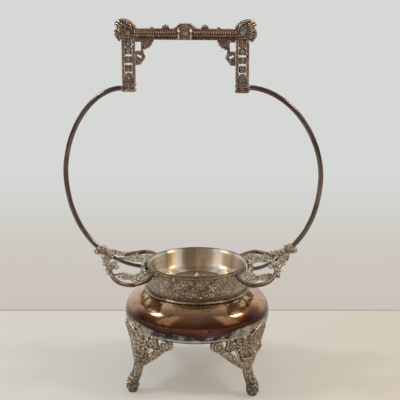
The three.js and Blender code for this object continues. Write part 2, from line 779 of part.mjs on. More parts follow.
// Block that straddles the bar, with shoulders that sweep down to the bar's top
function centreBlock() {
  const half = blockWidth / 2;
  const top = barTopZ + blockRise;
  const body = new THREE.Shape();
  body.moveTo(-half, barBottomZ);
  body.lineTo(half, barBottomZ);
  body.lineTo(half, barTopZ + seam);
  body.lineTo(half + blockShoulder, barTopZ + seam);
  body.quadraticCurveTo(half + 0.6, barTopZ + blockRise * 0.35, half - 0.8, top);
  body.lineTo(-half + 0.8, top);
  body.quadraticCurveTo(-half - 0.6, barTopZ + blockRise * 0.35, -half - blockShoulder, barTopZ + seam);
  body.lineTo(-half, barTopZ + seam);
  body.closePath();
  const whole = solidOf(uprightPlate(body, blockDepth, 4));
  const roomDepth = barDepth - blockWebCut + 2 * seam;
  const webRoom = box(2 * blockWidth, roomDepth, barHeight + 2 * seam, 0, 0, barBottomZ + barHeight / 2);
  return geometryOf(whole.subtract(solidOf(webRoom)));
}

function halfBall(x, radius) {
  const profile = [[0, 0]];
  for (let i = 0; i <= 4; i += 1) {
    const angle = Math.PI / 2 * i / 4;
    profile.push([radius * Math.cos(angle), radius * Math.sin(angle)]);
  }
  profile[profile.length - 1][0] = 0;
  return turned(profile, 12).translate(x, 0, barTopZ);
}

// Scrolled end piece over the post: an arch over the bar's end and a lobe past the post
function endPalmette(side) {
  const inner = endBlockReach;
  const outer = postX + postWidth / 2 + palmetteOverhang;
  const top = barTopZ + palmetteRise;
  const width = outer - inner;
  const outline = new THREE.Shape();
  outline.moveTo(inner, barBottomZ);
  outline.lineTo(inner, barTopZ);
  outline.quadraticCurveTo(inner + width * 0.14, top - 0.6, inner + width * 0.57, top);
  outline.quadraticCurveTo(outer - 0.6, top - 0.4, outer - 1, barTopZ + 1.8);
  outline.lineTo(outer - 2, barTopZ + 0.6);
  outline.quadraticCurveTo(outer + 1, barTopZ - 1.5, outer - 0.5, barTopZ - 5);
  outline.quadraticCurveTo(outer - 1.5, barBottomZ + 1.5, outer - 4, barBottomZ);
  outline.closePath();
  const eye = new THREE.Path();
  eye.absarc(outer - 3.2, barTopZ - 0.4, 0.8, 0, 2 * Math.PI, false);
  outline.holes.push(eye);
  return mirrored(uprightPlate(outline, palmetteDepth, 4), side);
}

// Pierced bracket in the corner of post and bar: rail, hook, drop ball and fan
function cornerBracket(side) {
  const postInner = postX - postWidth / 2;
  const railOut = postInner - bracketGap;
  const railIn = railOut - bracketRail;
  const top = barBottomZ - seam;
  const railX = (railOut + railIn) / 2;
  const rail = box(bracketRail, bracketDepth, bracketDrop, railX, 0, top - bracketDrop / 2);
  const hookZ = top - bracketDrop + 1.2;
  const hookX = postInner - seam - hookRadius;
  const hookArc = new THREE.CatmullRomCurve3([
    new THREE.Vector3(postInner - seam - hookWire, 0, hookZ + 0.5),
    new THREE.Vector3(hookX + 0.6, 0, hookZ + hookRadius),
    new THREE.Vector3(hookX - hookRadius + 0.6, 0, hookZ + 1.4),
    new THREE.Vector3(hookX - 1.2, 0, hookZ - 3.2),
  ]);
  const seat = postInner - seam; // face that lies against the post
  const dropZ = hookZ - dropBallRadius - hookWire;
  const dropX = seat - dropBallRadius;
  const dropHeight = dropBallRadius * 1.2;
  const drop = ball(dropX, 0, dropZ, dropBallRadius, bracketDepth / 2, dropHeight, aroundBud);
  const rootWidth = 2.4; // strip against the post that carries hook and drop
  const root = box(rootWidth, bracketDepth * 0.8, 8, seat - rootWidth / 2, 0, hookZ - 1);
  const fan = new THREE.Shape();
  fan.moveTo(railIn + 0.5, top);
  fan.lineTo(railIn - fanReach, top);
  const ribs = 4; // scallops along the fan's edge
  for (let i = 1; i <= ribs; i += 1) {
    const mid = Math.PI / 2 * (i - 0.5) / ribs;
    const end = Math.PI / 2 * i / ribs;
    const bulge = 1.14;
    fan.quadraticCurveTo(
      railIn - fanReach * bulge * Math.cos(mid), top - fanDrop * bulge * Math.sin(mid),
      railIn - fanReach * Math.cos(end), top - fanDrop * Math.sin(end),
    );
  }
  fan.lineTo(railIn + 0.5, top - fanDrop);
  fan.closePath();
  const whole = joined([rail, bar(hookArc, hookWire, 6), drop, root, uprightPlate(fan, bracketDepth, 3)]);
  const beyondSeat = seat + postWidth / 2;
  const room = solidOf(box(postWidth, 2 * bracketDepth, bracketDrop * 4, beyondSeat, 0, top - bracketDrop));
  return mirrored(geometryOf(whole.subtract(room)), side);
}

function build() {
  const stand = new THREE.Group();
  const bellySolid = bellyCutter();
  const collarSolid = collarCutter();
  stand.add(
    named('body_lower', bodyLower(), tarnished),
    named('body_upper', bodyUpper(), tarnished),
    named('collar', collar(), frieze),
    named('collar_flange', collarFlange(), bright),
    named('cup_pan', cupPan(), bright),
    named('cup_medallion', cupMedallion(), frieze),
    named('acorn_nut', acornNut(), bright),
    named('tie_bolt', tieBolt(), steel),
    named('bottom_washer', bottomWasher(), steel),
    named('bottom_nut', bottomNut(), steel),
    named('leg_front_left', leg(-legAngle, bellySolid), pewter),
    named('leg_front_right', leg(legAngle, bellySolid), pewter),
    named('leg_rear_left', leg(legAngle - Math.PI, bellySolid), pewter),
    named('leg_rear_right', leg(Math.PI - legAngle, bellySolid), pewter),
  );
  const handle = new THREE.Group();
  handle.position.x = rackedHandle;
  handle.add(named('handle_bar', handleBar(), ruddy), named('centre_block', centreBlock(), ruddy));
  for (const [side, word] of [[-1, 'left'], [1, 'right']]) {
    stand.add(
      named(`hoop_arm_${word}`, hoopArm(side), darkWire),
      named(`centre_rod_${word}`, centreRod(side), darkWire),
      named(`knuckle_${word}`, knuckle(side), pewter),
      named(`arm_boss_${word}`, armBoss(side, collarSolid), pewter),
      named(`loop_front_${word}`, sideLoop(side, -1, collarSolid), pewter),
      named(`loop_back_${word}`, sideLoop(side, 1, collarSolid), pewter),
    );
    handle.add(
      named(`handle_post_${word}`, handlePost(side), ruddy),
      named(`socket_block_${word}`, socketBlock(side), ruddy),
      named(`end_palmette_${word}`, endPalmette(side), ruddy),
      named(`corner_bracket_${word}`, cornerBracket(side), ruddy),
      named(`finial_large_${word}`, halfBall(side * largeBallReach, largeBallRadius), ruddy),
      named(`finial_small_${word}`, halfBall(side * smallBallReach, smallBallRadius), ruddy),
    );
  }
  stand.add(handle);
  return stand;
}

const group = build();
export default group;
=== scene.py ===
import math
from functools import partial

import bmesh
import bpy
import numpy as np
from mathutils import Matrix, Vector, geometry


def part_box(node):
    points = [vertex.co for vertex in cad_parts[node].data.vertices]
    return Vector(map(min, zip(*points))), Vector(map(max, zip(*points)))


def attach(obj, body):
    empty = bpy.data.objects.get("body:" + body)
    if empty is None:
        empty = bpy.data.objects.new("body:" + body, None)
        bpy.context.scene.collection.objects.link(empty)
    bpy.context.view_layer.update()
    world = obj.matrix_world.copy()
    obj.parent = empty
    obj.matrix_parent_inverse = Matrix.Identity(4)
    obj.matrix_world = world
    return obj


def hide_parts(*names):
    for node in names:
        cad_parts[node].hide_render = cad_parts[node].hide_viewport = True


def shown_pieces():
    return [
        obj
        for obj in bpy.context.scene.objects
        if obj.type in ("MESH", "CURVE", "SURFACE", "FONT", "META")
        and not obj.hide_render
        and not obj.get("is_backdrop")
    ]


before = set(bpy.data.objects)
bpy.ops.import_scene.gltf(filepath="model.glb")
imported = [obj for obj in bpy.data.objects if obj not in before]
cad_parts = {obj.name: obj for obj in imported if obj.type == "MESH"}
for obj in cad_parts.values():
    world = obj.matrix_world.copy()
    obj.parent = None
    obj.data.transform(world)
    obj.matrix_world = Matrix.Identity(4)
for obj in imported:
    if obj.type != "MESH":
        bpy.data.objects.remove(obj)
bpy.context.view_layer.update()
mm = 0.001
fullTurn = 2 * math.pi
hands = ((-1, "left"), (1, "right"))
outFront = (0, 1, 0)
upright = Matrix.Rotation(math.radians(90), 4, "X")  # stands a flat outline up, so that its y becomes z
print("frame loaded:", len(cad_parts), "CAD nodes")


# Adds a node to a tree, with its settings and a value or a link for each input that is named
def wire(tree, kind, inputs=None, **settings):
    node = tree.nodes.new(kind)
    for key, value in settings.items():
        setattr(node, key, value)
    for key, value in (inputs or {}).items():
        if isinstance(value, bpy.types.NodeSocket):
            tree.links.new(value, node.inputs[key])
        else:
            node.inputs[key].default_value = value
    return node


def linked(name, data):
    thing = bpy.data.objects.new(name, data)
    bpy.context.scene.collection.objects.link(thing)
    return thing


# Turns the camera or a lamp to look along a direction
def pointed(thing, way):
    thing.rotation_mode = "QUATERNION"
    thing.rotation_quaternion = way.to_track_quat("-Z", "Y")


def tint(code):  # sRGB hex to the shader's linear colour
    parts = [int(code[i:i + 2], 16) / 255 for i in (0, 2, 4)]
    return tuple(c / 12.92 if c <= 0.04045 else ((c + 0.055) / 1.055) ** 2.4 for c in parts) + (1.0,)


# The node tree of a material or of the world, with short ways to add to it
class Skin:
    def __init__(self, owner, space="Object"):
        self.owner = owner
        owner.use_nodes = True
        self.tree = owner.node_tree
        self.tree.nodes.clear()
        self.place = self.add("ShaderNodeTexCoord").outputs[space]
        self.x, self.y, self.z = self.add("ShaderNodeSeparateXYZ", {0: self.place}).outputs
        self.color = None

    def add(self, kind, inputs=None, **settings):
        return wire(self.tree, kind, inputs, **settings)

    def sums(self, operation, first, second=0.0):
        return self.add("ShaderNodeMath", {0: first, 1: second}, operation=operation).outputs[0]

    def plus(self, first, second):
        return self.sums("ADD", first, second)

    def times(self, first, *others):
        for other in others:
            first = self.sums("MULTIPLY", first, other)
        return first

    def away(self, value, middle=0.0):
        return self.sums("ABSOLUTE", self.sums("SUBTRACT", value, middle))

    # How far along a heading in the x and y plane
    def toward(self, angle):
        return self.plus(self.times(self.x, math.cos(angle)), self.times(self.y, math.sin(angle)))

    def noise(self, scale, detail=3.0, rough=0.55, shift=None, stretch=(1, 1, 1)):
        vector = self.place
        if shift is not None:
            inputs = {"Vector": vector, "Location": shift, "Scale": stretch}
            vector = self.add("ShaderNodeMapping", inputs).outputs["Vector"]
        inputs = {"Vector": vector, "Scale": scale, "Detail": detail, "Roughness": rough}
        return self.add("ShaderNodeTexNoise", inputs).outputs["Fac"]

    def span(self, value, low, high, start=0.0, end=1.0):
        inputs = {0: value, 1: low, 2: high, 3: start, 4: end}
        return self.add("ShaderNodeMapRange", inputs, interpolation_type="SMOOTHSTEP").outputs[0]

    # Soft patches: where noise rises from one level to another
    def cloud(self, scale, detail, rough, shift, low, high):
        return self.span(self.noise(scale, detail, rough, shift), low, high)

    def relief(self):
        return self.add("ShaderNodeAttribute", attribute_name="relief").outputs["Fac"]

    def mix(self, share, first, second):
        return self.add("ShaderNodeMix", {0: share, 6: first, 7: second}, data_type="RGBA").outputs[2]

    # Lays a colour over the finish, by a mask and further shares of it
    def lay(self, code, mask, *shares):
        self.color = self.mix(self.times(mask, *shares), self.color, tint(code))

    def ramp(self, value, stops):
        node = self.add("ShaderNodeValToRGB", {0: value})
        elements = node.color_ramp.elements
        for i, (at, code) in enumerate(stops):
            element = elements[i] if i < 2 else elements.new(at)
            element.position = at
            element.color = tint(code)
        return node.outputs["Color"]

    # Closes a metal finish with its roughness and its bumps; spun above 0 is for lathe-turned metal
    def close(self, rough, height, depth, spun=0.0):
        bump = self.add("ShaderNodeBump", {"Height": height, "Strength": 1.0, "Distance": depth})
        inputs = {"Base Color": self.color, "Roughness": rough, "Metallic": 1.0}
        inputs["Normal"] = bump.outputs["Normal"]
        if spun:
            around = self.add("ShaderNodeTangent", direction_type="RADIAL", axis="Z").outputs[0]
            inputs.update({"Anisotropic": spun, "Anisotropic Rotation": 0.25, "Tangent": around})
        shader = self.add("ShaderNodeBsdfPrincipled", inputs)
        self.add("ShaderNodeOutputMaterial", {"Surface": shader.outputs["BSDF"]})
        return self.owner


def newSkin(name):
    return Skin(bpy.data.materials.new(name))


view = {
    "turn": math.radians(4.5),  # to the right of straight ahead
    "rise": math.radians(14.2),  # above the horizon
    "distance": 0.9625,
    "aim": (0, 0, 0.159),
    "aside": 0.0026,
    "lens": 99,
    "clip": (0.05, 40),
}


def makeCamera():
    cosTurn, sinTurn = math.cos(view["turn"]), math.sin(view["turn"])
    level = math.cos(view["rise"])
    back = Vector((sinTurn * level, -cosTurn * level, math.sin(view["rise"])))
    right = Vector((cosTurn, sinTurn, 0))
    data = bpy.data.cameras.new("camera")
    data.lens = view["lens"]
    data.clip_start, data.clip_end = view["clip"]
    camera = linked("camera", data)
    camera.location = Vector(view["aim"]) + back * view["distance"] + right * view["aside"]
    pointed(camera, -back)
    bpy.context.scene.camera = camera


stage = {
    "width": 12.0,
    "back": 4.8,  # how far the floor's middle lies behind the stand
    "tableEdge": 0.1575,  # where the table top ends behind the stand, along the view
    "edgeLine": (0.0015, 0.004, 0.8),  # its half width, its soft end and its share
    "table": ("e1e5e6", "e2d7c7"),  # plain, and with painted warm light at the right
    "glow": ("d6ccbd", "d8c7af"),  # colours of the part that needs no light, the second with painted warm light at the right
    "glowShare": 0.45,  # share of the table top's colour that needs no light
    "wall": ("cbc4bb", "d6d8d5"),  # low and high
    "wallFade": 0.7,
    "line": "b9aea2",
}


def makeStage():
    bpy.ops.mesh.primitive_plane_add(size=stage["width"], location=(0, stage["back"], 0))
    floor = bpy.context.object
    floor.name = "floor"
    skin = newSkin("tableAndWall")
    depth = skin.toward(math.pi / 2 + view["turn"])
    edge = stage["tableEdge"] - stage["back"] * math.cos(view["turn"])
    low, high = stage["wall"]
    wall = skin.mix(skin.span(depth, edge, edge + stage["wallFade"]), tint(low), tint(high))
    # Painted warm light: patchy, toward the right
    warmLight = skin.times(skin.span(skin.x, -0.05, 0.35), skin.span(skin.noise(1.3, 2), 0.2, 0.6, 0.6, 1.0))
    beyond = skin.sums("GREATER_THAN", depth, edge)
    near, far, share = stage["edgeLine"]
    line = skin.times(skin.span(skin.away(depth, edge), near, far, 1.0, 0.0), share)
    colors = []
    for plain, warm in (stage["table"], stage["glow"]):
        color = skin.mix(beyond, skin.mix(warmLight, tint(plain), tint(warm)), wall)
        colors.append(skin.mix(line, color, tint(stage["line"])))
    plain = skin.add("ShaderNodeBsdfDiffuse", {"Color": colors[0]}).outputs[0]
    glow = skin.add("ShaderNodeEmission", {"Color": colors[1], "Strength": 1.0}).outputs[0]
    rays = skin.add("ShaderNodeLightPath").outputs
    seen = skin.sums("MAXIMUM", rays["Is Camera Ray"], rays["Is Glossy Ray"])
    seen = skin.sums("MAXIMUM", seen, rays["Is Transmission Ray"])
    share = skin.times(seen, skin.sums("MAXIMUM", beyond, stage["glowShare"]))
    both = skin.add("ShaderNodeMixShader", {0: share, 1: plain, 2: glow}).outputs[0]
    skin.add("ShaderNodeOutputMaterial", {"Surface": both})
    floor.data.materials.append(skin.owner)
    floor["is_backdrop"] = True


room = {
    "behind": "e6e8e6",
    "front": "776e65",
    "frontHigh": "9d958a",
    "lens": "d6d8d5",
    "panel": "fbf8f2",
    "panels": [(-0.766, -0.643), (0.875, -0.485)],  # headings of two tall pale windows
}


# Studio: a pale wall behind the stand, a dim room with two tall windows before it, pale to the lens
def makeWorld():
    world = bpy.data.worlds.new("studio")
    bpy.context.scene.world = world
    skin = Skin(world, "Generated")
    share = skin.times(skin.span(skin.y, 0.0, 0.42), skin.span(skin.z, 0.7, 0.98, 1.0, 0.35))
    front = skin.mix(skin.span(skin.z, 0.3, 0.9), tint(room["front"]), tint(room["frontHigh"]))
    skin.color = skin.mix(share, front, tint(room["behind"]))
    flat = skin.add("ShaderNodeCombineXYZ", {0: skin.x, 1: skin.y}).outputs[0]
    heading = skin.add("ShaderNodeVectorMath", {0: flat}, operation="NORMALIZE").outputs[0]
    tall = skin.times(skin.span(skin.z, 0.1, 0.22), skin.span(skin.z, 0.86, 0.96, 1.0, 0.0))
    for x, y in room["panels"]:
        near = skin.add("ShaderNodeVectorMath", {0: heading, 1: (x, y, 0)}, operation="DOT_PRODUCT")
        skin.lay(room["panel"], tall, skin.span(near.outputs["Value"], 0.965, 0.99))
    lit = skin.add("ShaderNodeBackground", {"Color": skin.color, "Strength": 1.0}).outputs[0]
    pale = skin.add("ShaderNodeBackground", {"Color": tint(room["lens"]), "Strength": 1.0}).outputs[0]
    camera = skin.add("ShaderNodeLightPath").outputs["Is Camera Ray"]
    both = skin.add("ShaderNodeMixShader", {0: camera, 1: lit, 2: pale}).outputs[0]
    skin.add("ShaderNodeOutputWorld", {"Surface": both})
    bpy.context.scene.view_settings.view_transform = "Standard"


lamps = {  # place, aim, width, height, watts, colour
    "left": ((-1.07, -0.08, 1.15), (0, 0, 0.07), 0.29, 0.25, 6.8, "fbfcff"),
    "right": ((1.05, -0.02, 1.12), (0, 0, 0.07), 0.27, 0.25, 5.8, "fff0da"),
}


def makeLamps():
    for name, (place, aim, width, height, watts, code) in lamps.items():
        data = bpy.data.lights.new(name, "AREA")
        data.shape = "RECTANGLE"
        data.size, data.size_y = width, height
        data.energy = watts
        data.color = tint(code)[:3]
        lamp = linked(name, data)
        lamp.location = place
        pointed(lamp, Vector(aim) - Vector(place))


makeCamera()
makeStage()
makeLamps()
makeWorld()
print("camera, floor, lamps and room made")


# Finish of a metal: blotches, stains and grain, grime and worn spots, hollows and crests of a relief
def metalSkin(name, look):
    skin = newSkin(name)
    blotch = look["blotch"]
    patches = skin.cloud(blotch, 4, 0.6, None, 0.36, 0.64)
    skin.color = skin.mix(patches, tint(look["base"]), tint(look["second"]))
    skin.lay(look["stain"], skin.cloud(blotch * 1.9, 5, 0.6, (0.3, 0.1, 0.7), 0.54, 0.7), look["stainShare"])
    grain = skin.noise(look["grain"], 4, 0.6)
    skin.lay(look["hollow"], skin.span(grain, 0.3, 0.75, 0.0, 0.35))
    rough = skin.span(grain, 0.25, 0.8, look["smooth"], look["rough"])
    height = grain
    if "mottle" in look:
        mottle, grimeShare, wornShare = look["mottle"]
        grime = skin.cloud(mottle, 3, 0.65, (0.6, 0.2, 0.5), 0.46, 0.58)
        skin.lay(look["hollow"], grime, grimeShare)
        worn = skin.cloud(mottle * 1.25, 3, 0.65, (0.2, 0.8, 0.1), 0.55, 0.66)
        skin.lay(look["crest"], worn, wornShare)
        height = skin.sums("SUBTRACT", skin.plus(grain, worn), grime)
    if "relief" in look:
        sunkShare, rubShare = look["relief"]
        relief = skin.relief()
        sunk = skin.span(relief, 0.12, 0.5, 1.0, 0.0)
        skin.lay(look["hollow"], sunk, sunkShare)
        skin.lay(look["crest"], skin.span(relief, 0.56, 0.9), rubShare)
        rough = skin.plus(rough, skin.times(sunk, 0.18))
    if "footShare" in look:
        skin.lay(look["hollow"], skin.span(skin.z, 0.009, 0.02, look["footShare"], 0.0))
    return skin.close(rough, height, look["depth"])


# Slot of the record; colours; blotches and grain to a metre; roughness from smooth to rough; height of the
# bumps; mottle: spots to a metre, shares of grime and wear; relief: shares of sunk and rubbed colour
metals = {
    "castPewter": {
        "slot": "cast_metal", "base": "c6b39a", "second": "9f8f7d", "stain": "969d90", "stainShare": 0.6,
        "hollow": "413127", "crest": "f8eedd", "blotch": 55, "grain": 700, "smooth": 0.22, "rough": 0.42,
        "depth": 0.0002, "mottle": (300, 0.5, 0.5), "relief": (0.75, 0.55), "footShare": 0.5,
    },
    "greyOval": {
        "slot": "ruddy_metal", "base": "aeb0a2", "second": "94988c", "stain": "b5a48e", "stainShare": 0.5,
        "hollow": "5d584c", "crest": "eeeee0", "blotch": 150, "grain": 500, "smooth": 0.18, "rough": 0.34,
        "depth": 0.00008, "mottle": (380, 0.15, 0.3),
    },
    "ruddyCasting": {
        "slot": "ruddy_metal", "base": "bfa695", "second": "97827a", "stain": "a0a598", "stainShare": 0.65,
        "hollow": "412e27", "crest": "fdf0e0", "blotch": 80, "grain": 900, "smooth": 0.2, "rough": 0.4,
        "depth": 0.00014, "mottle": (330, 0.4, 0.5), "relief": (0.85, 0.75),
    },
    "ruddyBar": {
        "slot": "ruddy_metal", "base": "b29182", "second": "906f65", "stain": "aba292", "stainShare": 0.5,
        "hollow": "48332b", "crest": "ecd6c6", "blotch": 90, "grain": 500, "smooth": 0.18, "rough": 0.34,
        "depth": 0.00006, "mottle": (260, 0.35, 0.35),
    },
    # near-white metal for painted highlights on beads, rails and ribs
    "paleHighlightMetal": {
        "slot": "ruddy_metal", "base": "efe1cf", "second": "d9c6b2", "stain": "bba898", "stainShare": 0.5,
        "hollow": "7a6154", "blotch": 160, "grain": 1500, "smooth": 0.2, "rough": 0.35, "depth": 0.0001,
    },
    "loopRail": {
        "slot": "cast_metal", "base": "8d7666", "second": "69564a", "stain": "a0988b", "stainShare": 0.6,
        "hollow": "3a2c24", "blotch": 70, "grain": 420, "smooth": 0.3, "rough": 0.5, "depth": 0.00008,
    },
    "flangeBand": {
        "slot": "bright_plate", "base": "cdc0a8", "second": "a89a86", "stain": "8d9088", "stainShare": 0.6,
        "hollow": "544639", "crest": "f0e8d6", "blotch": 110, "grain": 500, "smooth": 0.2, "rough": 0.4,
        "depth": 0.0001, "mottle": (230, 0.35, 0.4),
    },
    "darkWire": {
        "slot": "dark_wire", "base": "83756e", "second": "655652", "stain": "9b928a", "stainShare": 0.5,
        "hollow": "5a4a44", "blotch": 34, "grain": 60, "smooth": 0.16, "rough": 0.28, "depth": 0.000004,
    },
    "boltIron": {
        "slot": "iron", "base": "7d776f", "second": "655f57", "stain": "6b5242", "stainShare": 0.8,
        "hollow": "332b26", "blotch": 120, "grain": 900, "smooth": 0.35, "rough": 0.6, "depth": 0.0002,
    },
}

bellyFinish = {
    "zones": [  # tarnish from the lower rim up to the shoulder, with painted reflections in it: the dark room across the lower middle, the pale collar and wall at the shoulder
        (0.0, "86867c"), (0.12, "6c6f68"), (0.22, "3c3634"), (0.36, "38282a"), (0.50, "5c3b33"),
        (0.63, "a17258"), (0.80, "bc8f6d"), (1.0, "cbaa86"),
    ],
    "upper": [  # where it lies, scale, detail, roughness, shift, from, to, share, colour
        ("band", 42, 4, 0.62, (0.2, 0.5, 0.1), 0.50, 0.72, 0.5, "bd7148"),
        ("all", 30, 3, 0.5, (0.7, 0.2, 0.4), 0.5, 0.72, 0.5, "74525c"),
        ("all", 26, 4, 0.55, (0.1, 0.9, 0.3), 0.54, 0.76, 0.5, "cda66c"),
        # painted orange glints, on the belly's front only
        ("warmGlints", 230, 4, 0.7, (0.3, 0.2, 0.8), 0.54, 0.63, 0.45, "dd7f4c"),
    ],
    "loopReflections": [  # painted reflections of the loops as dark spots: place, share, reach
        ((0.0525, -0.034, 0.0645), 0.85, 0.0175), ((-0.0475, -0.041, 0.0620), 0.7, 0.0145),
    ],
    "cream": [("low", 170, 3, 0.6, (0.6, 0.7, 0.2), 0.5, 0.6, 0.65, "bab9a8")],
    "lower": [
        ("low", 120, 3, 0.6, (0.1, 0.4, 0.9), 0.5, 0.6, 0.5, "66746f"),
        ("low", 190, 4, 0.6, (0.4, 0.4, 0.2), 0.51, 0.60, 0.85, "2d3036"),
        ("all", 300, 2, 0.5, None, 0.60, 0.70, 0.55, "33272a"),
    ],
    "rimHeight": 0.0509,
}


def bellySkin():
    skin = newSkin("tarnishAndReflectionPlate")
    plan = bellyFinish
    wander = skin.times(skin.sums("SUBTRACT", skin.noise(24, 3, 0.5), 0.5), 0.010)
    ends = skin.span(skin.away(skin.x), 0.020, 0.050, 0.001, -0.0012)
    level = skin.span(skin.plus(skin.plus(skin.z, wander), ends), 0.046, 0.078)
    # Band where the painted orange glints lie
    glintBand = skin.times(skin.span(level, 0.42, 0.52), skin.span(level, 0.62, 0.78, 1.0, 0.0))
    low = skin.span(level, 0.2, 0.34, 1.0, 0.0)
    masks = {
        "all": 1.0,
        "band": skin.span(level, 0.34, 0.55),
        "warmGlints": skin.times(glintBand, skin.span(skin.y, -0.060, -0.050, 1.0, 0.0)),
        "low": low,
    }

    def layClouds(rows):
        for where, scale, detail, rough, shift, start, end, share, code in rows:
            skin.lay(code, skin.cloud(scale, detail, rough, shift, start, end), masks[where], share)

    # Tarnish with painted reflections, by height
    skin.color = skin.ramp(level, plan["zones"])
    layClouds(plan["upper"])
    # Painted reflection of the dark room: darker across the belly's front, fading toward the top
    paintedRoomReflection = skin.plus(skin.y, skin.times(skin.noise(35, 3, 0.6, (0.5, 0.5, 0.1)), 0.02))
    paintedRoomReflection = skin.times(skin.span(paintedRoomReflection, -0.052, -0.02, 1.0, 0.0), skin.span(level, 0.3, 0.5))
    skin.lay("5e372b", paintedRoomReflection, skin.span(skin.z, 0.070, 0.078, 1.0, 0.2), 0.6)
    # Painted reflections of the loops: dark spots on the belly's upper front
    for spot, share, reach in plan["loopReflections"]:
        near = skin.add("ShaderNodeVectorMath", {0: skin.place, 1: spot}, operation="DISTANCE")
        skin.lay("3c2a29", skin.span(near.outputs["Value"], 0.005, reach, share, 0.0))
    layClouds(plan["cream"])
    skin.lay("c9c3ae", skin.span(skin.away(skin.x), 0.026, 0.044, 0.0, 0.7), low)
    layClouds(plan["lower"])
    skin.lay("c8c4b4", skin.span(skin.away(skin.z, plan["rimHeight"]), 0.0004, 0.0009, 0.8, 0.0))
    rough = skin.plus(skin.span(skin.noise(60, 4, 0.6), 0.3, 0.75, 0.10, 0.22), skin.times(low, 0.12))
    bumps = skin.plus(skin.noise(90, 2, 0.4), skin.times(skin.noise(700, 2, 0.5), 0.06))
    return skin.close(rough, bumps, 0.00014)


def friezeSkin(name, look):
    skin = newSkin(name)
    ground = skin.mix(skin.cloud(60, 4, 0.6, None, 0.35, 0.65), *map(tint, look["ground"]))
    raised = skin.mix(skin.cloud(140, 3, 0.6, None, 0.35, 0.65), *map(tint, look["raised"]))
    skin.color = skin.mix(skin.span(skin.relief(), look["step"] * 0.2, look["step"]), ground, raised)
    skin.lay(look["golden"], skin.cloud(75, 3, 0.6, (0.2, 0.6, 0.4), 0.5, 0.7), 0.4)
    # Painted sheen: paler toward the left and right ends of the band
    skin.lay("d3cbbb", skin.span(skin.away(skin.x), 0.016, 0.038, 0.0, look["sideSheen"]))
    cells = skin.add("ShaderNodeTexVoronoi", {"Vector": skin.place, "Scale": look["stipple"]})
    dots = skin.span(cells.outputs["Distance"], 0.12, 0.5, 1.0, 0.0)
    skin.lay(look["dot"], dots, 0.3)
    rough = skin.span(skin.noise(500, 3, 0.6), 0.3, 0.7, 0.3, 0.5)
    return skin.close(rough, dots, look["depth"])


friezes = {
    "engravedPlate": {
        "ground": ("75624f", "8e7a66"), "raised": ("e6dcc8", "bfab90"), "golden": "a2794a", "dot": "d8ccb4",
        "stipple": 500, "depth": 0.0002, "step": 0.5, "sideSheen": 0.5,
    },
    "medallionPlate": {
        "ground": ("7a6856", "8f7c66"), "raised": ("cbb99e", "a38f75"), "golden": "9a7444", "dot": "b5a588",
        "stipple": 1300, "depth": 0.00015, "step": 0.35, "sideSheen": 0.0,
    },
}

panFinish = {
    "reflectionBands": [  # painted reflections, pale and dark bands up the pan's wall: heading and width in degrees, top, colour, share
        (151, 8, 0.110, "fff4d8", 0.8), (133, 7, 0.110, "8f7a5c", 0.6), (119, 7, 0.110, "ffffff", 0.95),
        (103, 9, 0.110, "a99271", 0.4), (68, 7, 0.110, "ffffff", 0.95), (56, 6, 0.110, "93805f", 0.6),
        (47, 5, 0.099, "e6b878", 0.55), (36, 6, 0.110, "f8efda", 0.7), (20, 7, 0.110, "f6dfb8", 0.6),
        (168, 7, 0.110, "e6d2a8", 0.5), (86, 4.5, 0.0945, "f6b070", 0.5),
    ],
    "floor": (0.0857, 0.0869),  # height at which the floor's darker colour ends
    "lip": (0.0427, 0.0431),  # reach at which the lip's darker colour starts
}


def panSkin():
    skin = newSkin("giltPan")
    around = skin.span(skin.noise(30, 4, 0.6, (0.1, 0.3, 0.2), (1, 1, 0.35)), 0.35, 0.65)
    skin.color = skin.mix(around, tint("fbf4e4"), tint("e8d9bd"))
    skin.lay("d0955f", skin.span(skin.noise(38, 4, 0.6, (0.5, 0.1, 0.6), (1, 1, 0.4)), 0.50, 0.68), 0.42)
    skin.lay("a3998a", skin.cloud(55, 4, 0.6, (0.8, 0.6, 0.1), 0.54, 0.7), 0.3)
    squares = skin.plus(skin.sums("POWER", skin.x, 2.0), skin.sums("POWER", skin.y, 2.0))
    reach = skin.sums("SQRT", squares)
    # Painted reflections: pale and dark bands up the pan's wall, where lamps and the room would reflect
    for turn, width, top, code, share in panFinish["reflectionBands"]:
        facing = skin.sums("DIVIDE", skin.toward(math.radians(turn)), reach)
        reflectionBand = skin.span(facing, math.cos(math.radians(width)), math.cos(math.radians(width * 0.35)))
        skin.lay(code, reflectionBand, skin.span(skin.z, top - 0.003, top, share, 0.0))
    ridges = skin.noise(420, 2, 0.5, (0, 0, 0), (0.02, 0.02, 1))
    skin.lay("9a8263", skin.span(ridges, 0.52, 0.66, 0.0, 0.25))
    skin.lay("9c8466", skin.span(skin.z, *panFinish["floor"], 1.0, 0.0), 0.4)
    skin.lay("7d6c5a", skin.span(reach, *panFinish["lip"]), 0.85)
    rough = skin.span(skin.noise(60, 3, 0.6), 0.3, 0.75, 0.32, 0.42)
    return skin.close(rough, ridges, 0.00003, 0.95)


# Each finish with the record's slot that it stands for
finishes = {name: (metalSkin(name, look), look["slot"]) for name, look in metals.items()}
finishes.update({name: (friezeSkin(name, look), "engraved_plate") for name, look in friezes.items()})
finishes["tarnishAndReflectionPlate"] = (bellySkin(), "tarnished_plate")
finishes["giltPan"] = (panSkin(), "bright_plate")
print("finishes made")


